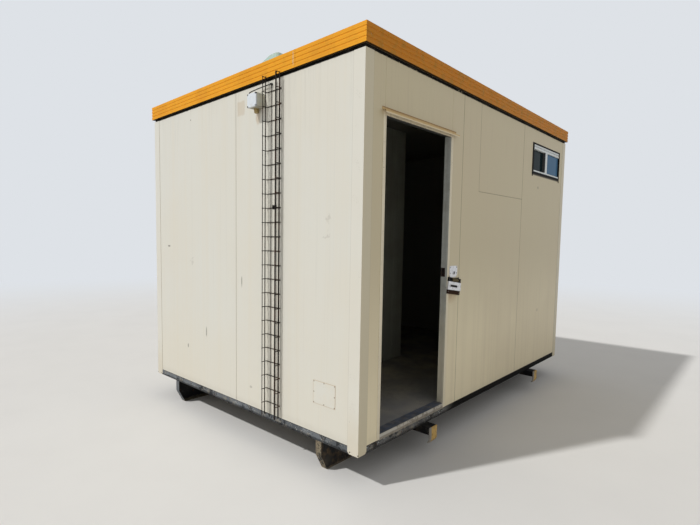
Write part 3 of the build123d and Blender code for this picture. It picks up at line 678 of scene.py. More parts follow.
def tray_tree():
    """Geometry Nodes: bent cross wires one above another, and upright wires on the marks given for them."""
    tree, given = geometry_tree("wire_tray_mesh", Wire_Width=float, Bend=float, Pitch=float, Rows=int,
                                Finish=bpy.types.Material)
    kind = attribute(tree, "kind", "INT")

    def only(number):
        wanted = put(tree, "FunctionNodeCompare", {2: kind, 3: number}, data_type="INT", operation="EQUAL")
        return shape(tree, "SeparateGeometry", {0: given["Geometry"], 1: wanted.outputs[0]}, domain="POINT")

    bent = shape(tree, "MeshToCurve", {0: only(CROSS)})
    bent = shape(tree, "FilletCurve", {"Curve": bent, "Radius": given["Bend"], "Count": 4}, mode="POLY")
    drop = upwards(tree, calc(tree, "MULTIPLY", given["Pitch"], -1.0))
    rungs = shape(tree, "MeshLine", {"Count": given["Rows"], "Offset": drop})
    cross = shape(tree, "InstanceOnPoints", {"Points": rungs, "Instance": bent})
    stubs = shape(tree, "MeshToCurve", {0: only(STUB)})
    rod = shape(tree, "CurvePrimitiveLine", {"End": UP})
    tall = upwards(tree, attribute(tree, "reach"), 1.0)
    rods = shape(tree, "InstanceOnPoints", {"Points": only(UPRIGHT), "Instance": rod, "Scale": tall})
    lines = shape(tree, "RealizeInstances", {"Geometry": joined(tree, cross, stubs, rods)})
    ring = shape(tree, "CurvePrimitiveCircle", {
        "Resolution": 10, "Radius": calc(tree, "MULTIPLY", given["Wire Width"], 0.5)})
    width = calc(tree, "ADD", 1.0, attribute(tree, "extra"))
    wires = shape(tree, "CurveToMesh", {
        "Curve": lines, "Profile Curve": ring, "Scale": width, "Fill Caps": True})
    finish_tree(tree, shape(tree, "SetShadeSmooth", {"Geometry": wires}), given["Finish"])
    return tree


class CABIN_OT_stage(bpy.types.Operator):
    """Sets up the camera, the lamps, the pale floor and the pale backdrop"""
    bl_idname = "cabin.stage"
    bl_label = "Stage"

    def execute(self, context):
        chosen = context.scene.cabin_stage
        self.camera(context, chosen)
        self.lamps(context, chosen)
        self.floor(context, chosen)
        context.scene.view_settings.view_transform = "Standard"
        return {"FINISHED"}

    def camera(self, context, chosen):
        heading, dip, roll = chosen.camera_heading, chosen.camera_dip, chosen.camera_roll
        ahead = Vector((sin(heading) * cos(dip), cos(heading) * cos(dip), -sin(dip)))
        level = Vector((cos(heading), -sin(heading), 0.0))
        up = level.cross(ahead)
        side = level * cos(roll) + up * sin(roll)
        up = up * cos(roll) - level * sin(roll)
        data = bpy.data.cameras.new("camera")
        data.sensor_width, data.lens = 36.0, chosen.lens
        data.shift_x, data.shift_y = chosen.shift
        data.clip_end = 200.0
        camera = add_object("camera", data)
        turn = Matrix((side, up, -ahead)).transposed()
        camera.matrix_world = Matrix.Translation(chosen.camera_place) @ turn.to_4x4()
        context.scene.camera = camera

    def lamps(self, context, chosen):
        data = bpy.data.lights.new("key_lamp", "SUN")
        data.energy, data.angle = chosen.key_strength, chosen.key_softness
        lamp = add_object("key_lamp", data)
        level = cos(chosen.key_height)
        travel = Vector((KEY_TRAVEL[0] * level, KEY_TRAVEL[1] * level, -sin(chosen.key_height)))
        lamp.rotation_mode = "QUATERNION"
        lamp.rotation_quaternion = travel.to_track_quat("-Z", "Y")
        world = bpy.data.worlds.new("studio")
        tree = empty_tree(world)
        soft = put(tree, "ShaderNodeBackground", {"Color": (1.0, 1.0, 1.0), "Strength": chosen.sky_strength})
        pale = put(tree, "ShaderNodeBackground", {"Color": tuple(chosen.backdrop_colour), "Strength": 1.0})
        seen = put(tree, "ShaderNodeMixShader", {0: self.seen(tree), 1: soft.outputs[0], 2: pale.outputs[0]})
        put(tree, "ShaderNodeOutputWorld", {"Surface": seen.outputs[0]})
        context.scene.world = world

    def seen(self, tree):
        """1 for the camera, for mirrors and for what glass lets through."""
        rays = put(tree, "ShaderNodeLightPath").outputs
        total = calc(tree, "MAXIMUM", rays["Is Camera Ray"], rays["Is Glossy Ray"])
        return calc(tree, "MAXIMUM", total, rays["Is Transmission Ray"])

    def floor(self, context, chosen):
        """A wide floor that passes into the backdrop far from the cabin, with no edge in view."""
        def disc(work):
            bmesh.ops.create_circle(work, cap_ends=True, radius=60.0, segments=96)
        floor = add_object("studio_floor", mesh_from("studio_floor", disc))
        if floor.data.polygons[0].normal.z < 0:
            floor.data.flip_normals()
        material = bpy.data.materials.new("studio_floor")
        tree = empty_tree(material)
        darker = tuple(v * 0.97 for v in chosen.floor_colour)
        shade = mixed(tree, rise(tree, noise(tree, scale=1.4), 0.3, 0.8), tuple(chosen.floor_colour), darker)
        plain = put(tree, "ShaderNodeBsdfPrincipled", {
            "Base Color": shade, "Roughness": 0.85, "Specular IOR Level": 0.2})
        far = vector_step(tree, "LENGTH", place(tree))
        away = calc(tree, "MULTIPLY", rise(tree, far, 3.5, 15.0), self.seen(tree))
        pale = put(tree, "ShaderNodeEmission", {"Color": tuple(chosen.backdrop_colour), "Strength": 1.0})
        both = put(tree, "ShaderNodeMixShader", {0: away, 1: plain.outputs[0], 2: pale.outputs[0]})
        put(tree, "ShaderNodeOutputMaterial", {"Surface": both.outputs[0]})
        floor.data.materials.append(material)


def zone(direction, start, stop, soft=0.01, ragged=0.0, grain_size=0.05):
    """A mask for the part between two places along a direction."""
    return ("between", direction, start, stop, soft, ragged, grain_size)


def line(direction, at, half, soft=0.001, ragged=0.0, grain_size=0.05):
    """A mask for a thin line or band about one place along a direction."""
    return zone(direction, at - half, at + half, soft, ragged, grain_size)


def looks(direction, low=0.5, high=0.9):
    """A mask for surfaces that look one way."""
    return ("facing", direction, low, high)


def patch(centre, reach, soft=0.4, ragged=0.8, grain_size=0.02):
    """A mask for one ragged patch."""
    return ("spot", centre, reach, soft, ragged, grain_size)


class CABIN_OT_walls(bpy.types.Operator):
    """Finishes the wall panels, the corner trims and the screen wall"""
    bl_idname = "cabin.walls"
    bl_label = "Walls and trims"

    # Marks on the left end wall: their place along it and up it, their reach both ways, and their share
    SCUFFS = ((0.969, 1.417, 0.020, 0.007, 0.75), (-0.093, 1.165, 0.005, 0.038, 0.65),
              (0.378, 0.718, 0.007, 0.040, 0.60), (0.660, 0.557, 0.009, 0.016, 0.55),
              (-0.202, 0.392, 0.013, 0.009, 0.32))

    def skin(self, name, ground, warm, lines, marks=(), inside=None, brightened=()):
        """The coat of a wall, with joints as lines, marks of its own and a lining where a room is."""
        layers = [
            # Painted light that a wall is given first, such as the front wall's paler foot.
            *brightened,
            (("blotches", 1.1, 0.40, 0.66), warm, 0.30, None),
            (("streaks", 0.045, 3.5, 0.42, 0.72), warm, 0.25, None),
            (("streaks", 0.012, 1.6, 0.56, 0.80), "grime", 0.07, 0.5),
            (zone(UP, FOOT - 1.0, FOOT + 0.42, 0.38, 0.25, 0.15), warm, 0.35, None),
            (zone(UP, FOOT - 1.0, FOOT + 0.03, 0.03, 0.05, 0.05), "grime", 0.10, 0.6),
            ([("streaks", 0.02, 0.5, 0.52, 0.70), zone(UP, HEAD - 0.30, HEAD + 1.0, 0.25)],
             "grime", 0.07, None),
            # Painted shadow under the fascia, along the top of the wall.
            (zone(UP, HEAD - 0.002, HEAD + 1.0, 0.003, 0.012, 0.03), "shade", 0.70, 0.8),
            (("chips", 0.35, 0.69), "grime", 0.18, None),
            *[(mask, "seam", share, 0.7) for mask, share in lines],
            *marks,
        ]
        if inside:
            layers.append((inside, "lining", 1.0, 0.6))
        bumps = [(("blotches", 0.55, 0.2, 0.8), 0.0012), (("grain", 0.004), 0.00002),
                 (("streaks", 0.03, 6.0, 0.3, 0.7), 0.00007)]
        return coat(name, ground, 0.46, layers, bumps, gloss=0.35)

    def execute(self, context):
        left_joint, right_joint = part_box("left_wall_front")[1].y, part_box("right_wall_front")[1].y
        # Painted shadow lines, with some dirt, along the edges of the trims' legs on the end walls.
        trim_shadow_lines = [(line(DEEP, FRONT + TRIM_LEG, 0.003, 0.002), 0.30),
                      (line(DEEP, BACK - TRIM_LEG, 0.003, 0.002), 0.50)]
        # Stains on the left wall. The second patch, under the junction box, is partly a stain and partly a
        # painted shadow of the box.
        stains = [
            ([zone(DEEP, -0.129, -0.043, 0.006, 0.02, 0.03), zone(UP, 2.376, 2.474, 0.008, 0.03, 0.03)],
             "stain", 0.26, 0.7),
            (patch((LEFT, -0.278, 2.330), (0.2, 0.022, 0.048), 0.35, 0.5), "stain", 0.40, 0.7),
        ]
        scuffs = [(patch((LEFT, y, z), (0.2, deep, tall)), "scuff", share, 0.7)
                  for y, z, deep, tall, share in self.SCUFFS]
        hole = (patch((LEFT, 0.592, 2.462), (0.2, 0.006, 0.006), 0.3, 0.2), "scuff", 0.70, 0.7)
        lines = [(line(DEEP, left_joint, 0.0020, 0.0012), 0.65), *trim_shadow_lines]
        dress(self.skin("left_wall_skin", "wall", "wall_warm", lines, [*stains, *scuffs, hole]),
              "left_wall_front", "left_wall_back")
        lines = [(line(DEEP, right_joint, 0.0020, 0.0012), 0.75), *trim_shadow_lines]
        room = zone(ALONG, LEFT, RIGHT - LINING_DEPTH, 0.001)
        dress(self.skin("right_wall_skin", "wall", "wall_warm", lines, inside=room),
              "right_wall_front", "right_wall_back")
        lines = [(line(ALONG, corner.x, 0.0020, 0.0012), 0.75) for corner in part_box("back_wall_middle")]
        room = zone(DEEP, FRONT, BACK - LINING_DEPTH, 0.001)
        dress(self.skin("back_wall_skin", "wall", "wall_warm", lines + self.trim_edge_shadow_lines(), inside=room),
              "back_wall_left", "back_wall_middle", "back_wall_right")
        self.front()
        self.trims()
        self.screen()
        return {"FINISHED"}

    def trim_edge_shadow_lines(self):
        """Painted shadow lines, with some dirt, along the trims' edges on the two long walls."""
        return [(line(ALONG, x, 0.003, 0.002), 0.55) for x in (LEFT + TRIM_LEG, RIGHT - TRIM_LEG)]

    def front(self):
        infill, guard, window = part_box("front_wall_infill"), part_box("lock_guard"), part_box("window_surround")
        lines = [(line(ALONG, corner.x, 0.0030, 0.0015), 0.60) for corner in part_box("front_wall_middle")]
        beside_infill = [line(ALONG, infill[0].x, 0.0025, 0.0012), zone(UP, infill[0].z - 0.002, 4.0, 0.001)]
        under_infill = [line(UP, infill[0].z, 0.0025, 0.0012), zone(ALONG, infill[0].x, infill[1].x, 0.001)]
        behind_guard = [zone(ALONG, guard[0].x + 0.01, guard[1].x - 0.006, 0.001),
                        zone(UP, guard[0].z + 0.004, guard[1].z - 0.004, 0.001)]
        under_window = [zone(ALONG, window[0].x, window[1].x, 0.004),
                        zone(UP, window[0].z + 0.012, window[0].z + 0.028, 0.004)]
        round_window = [zone(ALONG, window[0].x - 0.005, window[1].x, 0.001),
                        zone(UP, window[0].z + 0.020, window[1].z + 0.004, 0.001)]
        marks = [
            (beside_infill, "seam", 0.55, 0.7),
            (under_infill, "seam", 0.55, 0.7),
            (patch((guard[0].x + 0.075, FRONT, guard[0].z - 0.012), (0.075, 0.1, 0.048), 0.5, 0.9, 0.02),
             "stain", 0.32, 0.7),
            (patch((guard[0].x + 0.060, FRONT, guard[0].z - 0.010), (0.030, 0.1, 0.024), 0.5, 0.9, 0.01),
             "rust", 0.16, 0.7),
            # Painted shade: the wall behind the hanging lock guard, a band of painted shadow under the window's
            # surround and a thin dark outline round it.
            (behind_guard, "shade", 0.95, 0.8),
            (under_window, "shade", 0.80, 0.7),
            (round_window, "shade", 0.85, 0.8),
            (patch((1.042, FRONT, 2.010), (0.016, 0.1, 0.012)), "scuff", 0.45, 0.7),
            (patch((1.183, FRONT, 0.784), (0.012, 0.1, 0.016)), "scuff", 0.40, 0.7),
        ]
        # Painted light: the front wall paler towards its foot, where light comes up from the floor.
        brightened = [(zone(UP, -9.0, 0.85, 0.65, 0.15, 0.3), "wall_low_painted_light", 0.95, None)]
        lines += self.trim_edge_shadow_lines()
        # The front wall's ground colour is painted shade: a darker, warmer copy of the walls' cream.
        dress(self.skin("front_wall_skin", "wall_front", "dust", lines, marks, brightened=brightened),
              "front_wall_hinge_side", "front_wall_over_door", "front_wall_lock_side", "front_wall_middle",
              "front_wall_infill", "front_wall_window_panel")

    def trims(self):
        layers = [
            (("blotches", 1.1, 0.40, 0.66), "wall_warm", 0.25, None),
            (zone(UP, -1.0, 0.40, 0.18, 0.12, 0.06), "dust", 0.40, 0.6),
            (("scratches", 0.10, 0.003, 0.60), "grime", 0.35, 0.6),
            ([("chips", 0.05, 0.69), zone(UP, -1.0, 0.60, 0.2)], "scuff", 0.75, 0.7),
            # Painted shade: the trims' front legs take the front wall's darker, shaded cream.
            (looks(TO_FRONT), "wall_front", 0.80, None),
            *[(patch((x, y, 0.2105), (0.005, 0.005, 0.004), 0.2, 0.2), "shade", 0.95, 0.8)
              for x in (LEFT, RIGHT) for y in (FRONT, BACK)],
        ]
        bumps = relief(0.003, 0.00002, 0.2, 0.0003)
        dress(coat("corner_trim_coat", "trim", 0.42, layers, bumps, gloss=0.4),
              "corner_trim_front_left", "corner_trim_back_left", "corner_trim_back_right",
              "corner_trim_front_right")

    def screen(self):
        layers = [
            (("blotches", 0.4, 0.40, 0.70), "grime", 0.35, None),
            (("streaks", 0.02, 0.9, 0.5, 0.75), "grime", 0.30, None),
            (zone(UP, -1.0, 0.55, 0.2, 0.1), "scuff", 0.15, 0.7),
        ]
        bumps = relief(0.003, 0.00003, 0.3, 0.0006)
        dress(coat("screen_wall_coat", "screen", 0.5, layers, bumps, gloss=0.3), "screen_wall")


class CABIN_OT_steelwork(bpy.types.Operator):
    """Finishes the skids, lifting beams, stop plates, base rails and floor"""
    bl_idname = "cabin.steelwork"
    bl_label = "Skids, beams and floor frame"

    def execute(self, context):
        self.rails()
        self.skids()
        self.stops()
        self.deck()
        ease(0.003, "skid_front", "skid_back")
        ease(0.002, "lifting_beam_left", "lifting_beam_right", "sling_stops")
        return {"FINISHED"}

    def rails(self):
        layers = [
            # Painted shade: the rails' front faces are darker.
            (looks(TO_FRONT), "scuff", 0.45, None),
            (("blotches", 0.16, 0.42, 0.62), "skid", 0.40, None),
            (("blotches", 0.04, 0.50, 0.66), "dust", 0.20, 0.8),
            (("chips", 0.07, 0.555), "skid", 0.72, 0.6),
            (("chips", 0.035, 0.65), "rust", 0.60, 0.85),
            (("scratches", 0.09, 0.003, 0.42), "pale_wear", 0.70, 0.6),
            (("chips", 0.020, 0.645), "pale_wear", 0.80, 0.7),
            (("specks", 0.016, 0.26), "pale_wear", 0.75, 0.8),
            (zone(UP, 0.0, 0.214, 0.006, 0.012, 0.02), "skid", 0.70, 0.6),
            # Painted shade: the front rail's face nearly black right of the doorway.
            ([zone(ALONG, -0.66, 9.0, 0.08, 0.2, 0.1), looks(TO_FRONT)], "shade", 0.97, 0.7),
            # Painted shadow: a dark line along the rails at the walls' foot.
            (line(UP, FOOT, 0.004, 0.002, 0.004, 0.02), "skid", 0.80, None),
            (looks(UP), "dust", 0.50, 0.9),
        ]
        bumps = [(("chips", 0.06, 0.585), -0.0004), (("grain", 0.003), 0.0001)]
        dress(coat("base_rail_coat", "rail", 0.6, layers, bumps, gloss=0.03), "floor_frame")

    def skids(self):
        end, near_half = looks(TO_LEFT, 0.3, 0.7), zone(DEEP, -2.0, 0.0)
        layers = [
            (("blotches", 0.12, 0.50, 0.72), "scuff", 0.35, 0.7),
            (("chips", 0.05, 0.63), "rust", 0.70, 0.85),
            # Brown blotches on the near skid: dirt, and painted bounce light from the ground.
            ([("blotches", 0.05, 0.45, 0.66), near_half], "skid_dirt_and_bounce", 0.70, 0.8),
            ([end, near_half, ("blotches", 0.05, 0.38, 0.58)], "skid_edge", 0.80, 0.8),
            ([end, zone(DEEP, 0.0, 2.0)], "rail", 0.80, 0.6),
            ([end, ("chips", 0.05, 0.56)], "skid", 0.85, 0.6),
            ([end, ("specks", 0.014, 0.3)], "pale_wear", 0.60, 0.7),
            (("scratches", 0.12, 0.003, 0.48), "bare_steel", 0.50, 0.45),
            (zone(UP, -1.0, 0.010, 0.010, 0.03, 0.03), "dust", 0.25, 0.9),
            ([looks(UP), ("blotches", 0.06)], "dust", 0.12, 0.9),
        ]
        bumps = [(("chips", 0.05, 0.62), -0.0005), (("grain", 0.004), 0.00015)]
        dress(coat("skid_coat", "skid", 0.55, layers, bumps, gloss=0.2), "skid_front", "skid_back")
        dress(coat("beam_coat", "skid", 0.60, layers[:2] + layers[7:-1], bumps, gloss=0.03),
              "lifting_beam_left", "lifting_beam_right")

    def stops(self):
        edges = [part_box(beam)[0].x for beam in ("lifting_beam_left", "lifting_beam_right")]
        layers = [
            (("blotches", 0.05, 0.42, 0.66), "scuff", 0.42, 0.7),
            (("chips", 0.03, 0.60), "rust", 0.75, 0.85),
            (("scratches", 0.05, 0.0015, 0.45), "bare_steel", 0.55, 0.5),
            *[(zone(ALONG, x - 0.01, x + 0.025, 0.001, 0.004, 0.02), "bare_steel", 0.92, 0.5) for x in edges],
            (("specks", 0.008, 0.18), "dust", 0.60, 0.8),
        ]
        bumps = [(("chips", 0.03, 0.60), -0.0004), (("grain", 0.002), 0.0001)]
        dress(coat("stop_plate_coat", "stop", 0.55, layers, bumps, gloss=0.35), "sling_stops")

    def deck(self):
        layers = [
            (("blotches", 0.25, 0.40, 0.68), "dust", 0.30, None),
            (("blotches", 0.07, 0.46, 0.72), "scuff", 0.28, 0.7),
            (("scratches", 0.30, 0.004, 0.44), "dust", 0.30, 0.6),
            (("specks", 0.03, 0.15), "scuff", 0.45, 0.8),
            # Painted light: paler deck near the front wall, where light falls in through the doorway.
            (zone(DEEP, FRONT - 1.0, FRONT + 0.35, 0.20, 0.1), "floor_painted_light", 0.35, 0.6),
        ]
        bumps = relief(0.003, 0.0001, 0.3, 0.0006)
        dress(coat("floor_sheet_finish", "deck", 0.55, layers, bumps, gloss=0.4), "floor_deck")


class CABIN_OT_roof(bpy.types.Operator):
    """Finishes the fascias, the black band, the roof sheets and the cowl, and sets the roof screws"""
    bl_idname = "cabin.roof"
    bl_label = "Roof, fascias and cowl"

    def execute(self, context):
        self.fascias()
        self.band()
        self.sheets()
        self.cowl()
        self.screws(context.scene.cabin_fixings)
        return {"FINISHED"}

    def band(self):
        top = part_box("top_ring")[1].z
        rooms = [zone(ALONG, LEFT + LINING_DEPTH, RIGHT - LINING_DEPTH, 0.001),
                 zone(DEEP, FRONT + LINING_DEPTH, BACK - LINING_DEPTH, 0.001)]
        layers = [
            (("specks", 0.022, 0.16), "dust", 0.75, 0.8),
            (("blotches", 0.10, 0.45, 0.72), "scuff", 0.35, 0.7),
            (zone(UP, top - 0.004, top + 1.0, 0.002), "black", 1.0, None),
            (rooms, "lining", 1.0, 0.6),
        ]
        dress(coat("top_band_coat", "black", 0.6, layers, relief(0.003, 0.0001), gloss=0.05), "top_ring")

    def fascias(self):
        low, high = (corner.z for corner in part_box("fascia_front"))
        front, on_left = looks(TO_FRONT, 0.3, 0.6), zone(ALONG, LOW.x - 1.0, LEFT - 0.004, 0.002)
        # A lap in the left fascia, where a pale run of old filler comes out beside a rusty edge
        lap = -0.660
        filler = [line(DEEP, lap + 0.018, 0.0045, 0.002), on_left,
                  zone(UP, low + 0.02, high - 0.012, 0.01, 0.02, 0.01)]

        def levels(parts, steps):
            return [low + (high - low) * i / parts for i in steps]
        layers = [
            (("blotches", 0.30, 0.42, 0.68), "fascia_dull_and_shaded", 0.22, None),
            (("blotches", 0.06, 0.46, 0.72), "moss", 0.10, None),
            # Darker lines in the grooves: dirt held there, and painted shade.
            *[(line(UP, z, 0.0030, 0.0020), "fascia_dull_and_shaded", 0.15, 0.6) for z in levels(4, (1, 2, 3))],
            # Painted shade: the fascias' front faces are darker.
            (front, "fascia_dull_and_shaded", 0.85, None),
            ([front, ("blotches", 0.05, 0.46, 0.66)], "moss", 0.28, None),
            *[(line(UP, z, 0.0016, 0.0012), "fascia_dull_and_shaded", 0.20, None) for z in levels(16, (2, 6, 10, 14))],
            (("chips", 0.05, 0.68), "rust", 0.50, 0.8),
            (("specks", 0.016, 0.05), "dust", 0.35, 0.8),
            ([line(DEEP, lap, 0.0012, 0.0008), on_left], "rust", 0.80, 0.8),
            (filler, "dust", 0.60, 0.7),
            # Painted shade: the fascias' undersides nearly black.
            (looks(DOWN, 0.85, 0.95), "shade", 0.95, 0.8),
            ([looks(UP, 0.85, 0.95), ("blotches", 0.06)], "dust", 0.35, 0.8),
        ]
        bumps = relief(0.003, 0.00003, 0.25, 0.0005)
        finish = coat("fascia_coat", "fascia", 0.55, layers, bumps, gloss=0.15)
        dress(finish, "fascia_front", "fascia_back", "fascia_left", "fascia_right")

    def sheets(self):
        layers = [
            (("blotches", 0.50, 0.40, 0.68), "dust", 0.45, 0.7),
            (("blotches", 0.08, 0.50, 0.74), "grime", 0.35, 0.8),
            (("chips", 0.12, 0.68), "rust", 0.45, 0.85),
            (looks(DOWN), "lining", 1.0, 0.6),
        ]
        bumps = relief(0.003, 0.00004, 0.4, 0.0010)
        dress(coat("roof_sheet_coat", "roof", 0.45, layers, bumps, gloss=0.4),
              "roof_panel_left", "roof_panel_middle", "roof_panel_right")

    def cowl(self):
        layers = [
            (("blotches", 0.07, 0.40, 0.68), "dust", 0.28, 0.7),
            (("streaks", 0.010, 0.09, 0.50, 0.72), "grime", 0.22, None),
            (("specks", 0.012, 0.14), "grime", 0.40, 0.8),
            (looks(UP), "dust", 0.25, 0.8),
        ]
        bumps = relief(0.002, 0.00008, 0.05, 0.0006)
        dress(coat("cowl_plastic_finish", "cowl", 0.5, layers, bumps, gloss=0.4), "cowl_throat", "cowl_cap")
        ease(0.004, "cowl_cap", segments=3)

    def screws(self, fixing):
        inset = 0.120
        start, run = FRONT + inset, BACK - FRONT - 2 * inset
        count = max(2, round(run / fixing.roof_screw_spacing) + 1)
        marks = [(Vector((x, start + run * i / (count - 1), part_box(panel)[1].z)), UP)
                 for panel in ("roof_panel_left", "roof_panel_middle", "roof_panel_right")
                 for x in self.rib_places(panel) for i in range(count)]
        steel = coat("roof_screw_steel", "bare_steel", 0.4, [
            (("blotches", 0.006, 0.4, 0.7), "rust", 0.45, 0.7)],
            relief(0.001, 0.00002), metal=0.8)
        fixings("roof_screws", marks, fixing.roof_screw_width, fixing.roof_screw_height, steel, "roof_sheet",
                head_sides=6, share=0.55)

    def rib_places(self, panel):
        """Where the ribs' tops lie along the roof."""
        top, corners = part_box(panel)[1].z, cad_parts[panel].data.vertices
        found = sorted({round(v.co.x, 4) for v in corners if v.co.z > top - 0.0005})
        return [(a + b) / 2 for a, b in zip(found[::2], found[1::2])]


class CABIN_OT_doorway(bpy.types.Operator):
    """Finishes the door frame, sill, drip and strike plate"""
    bl_idname = "cabin.doorway"
    bl_label = "Doorway"

    def execute(self, context):
        self.jambs()
        self.sill()
        self.drip()
        layers = [(("blotches", 0.01, 0.4, 0.7), "rust", 0.45, 0.7),
                  (("scratches", 0.02, 0.0008, 0.4), "bare_steel", 0.6, 0.4)]
        dress(coat("strike_plate_steel", "dark", 0.45, layers, relief(0.001, 0.00003), metal=0.2, gloss=0.15),
              "strike_plate")
        return {"FINISHED"}

    def jambs(self):
        bumps = [(("grain", 0.002), 0.00003), (("chips", 0.03, 0.66), -0.0003)]
        wear = [
            (("streaks", 0.010, 0.5, 0.48, 0.75), "grime", 0.30, None),
            (zone(UP, -1.0, 0.35, 0.1, 0.15, 0.05), "grime", 0.15, 0.7),
            (("chips", 0.03, 0.66), "scuff", 0.80, 0.7),
            (("scratches", 0.05, 0.002, 0.48), "scuff", 0.50, 0.6),
        ]
        dress(coat("hinge_jamb_coat", "jamb", 0.45, wear, bumps, gloss=0.4), "door_jamb_hinge_side")
        face = [(looks(TO_FRONT), "jamb", 0.92, None)]
        # Painted shade on the door head's underside.
        dim = [(looks(DOWN), "shade", 0.90, 0.8)]
        dress(coat("door_head_coat", "jamb_grey", 0.45, face + wear + dim, bumps, gloss=0.4), "door_head")
        low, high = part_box("strike_plate")
        margin = 0.003
        behind_plate = [zone(UP, low.z + margin, high.z - margin, 0.0005),
                        zone(DEEP, low.y + margin, high.y - margin, 0.0005)]
        grey = [(("blotches", 0.06, 0.40, 0.68), "grime", 0.22, None), *face, *wear,
                (zone(UP, -1.0, 0.9, 0.35, 0.2, 0.1), "jamb", 0.65, None), (behind_plate, "shade", 1.0, 0.8)]
        dress(coat("lock_jamb_coat", "jamb_grey", 0.5, grey, bumps, gloss=0.35), "door_jamb_lock_side")

    def sill(self):
        low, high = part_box("door_sill")
        lip = zone(DEEP, low.y - 1.0, low.y + 0.0035, 0.0012)
        layers = [
            (("blotches", 0.06, 0.42, 0.70), "scuff", 0.45, 0.6),
            (("scratches", 0.10, 0.003, 0.42), "bare_steel", 0.55, 0.4),
            (lip, "wall_warm", 0.64, 0.6),
            ([lip, zone(UP, -1.0, (low.z + high.z) / 2, 0.004, 0.008, 0.02)], "grime", 0.70, 0.7),
            ([lip, ("chips", 0.05, 0.54)], "grime", 0.70, 0.7),
            ([lip, ("chips", 0.03, 0.62)], "scuff", 0.80, 0.7),
            ([looks(UP), ("blotches", 0.04)], "dust", 0.22, 0.8),
        ]
        bumps = relief(0.002, 0.00005, 0.06, 0.0004)
        dress(coat("sill_steel_finish", "sill", 0.42, layers, bumps, metal=0.3, gloss=0.5), "door_sill")

    def drip(self):
        low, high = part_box("door_drip")
        layers = [
            (("blotches", 0.07, 0.40, 0.68), "stain", 0.30, None),
            (zone(UP, high.z - 0.008, high.z + 1.0, 0.003, 0.006, 0.02), "stain", 0.60, 0.85),
            (zone(UP, high.z - 0.004, high.z + 1.0, 0.002, 0.004, 0.02), "rust", 0.55, 0.85),
            (zone(UP, low.z - 1.0, low.z + 0.006, 0.002, 0.004, 0.02), "jamb", 0.75, 0.5),
            (("chips", 0.03, 0.64), "rust", 0.60, 0.85),
        ]
        bumps = relief(0.002, 0.00005)
        dress(coat("drip_coat", "drip", 0.5, layers, bumps, gloss=0.35), "door_drip")


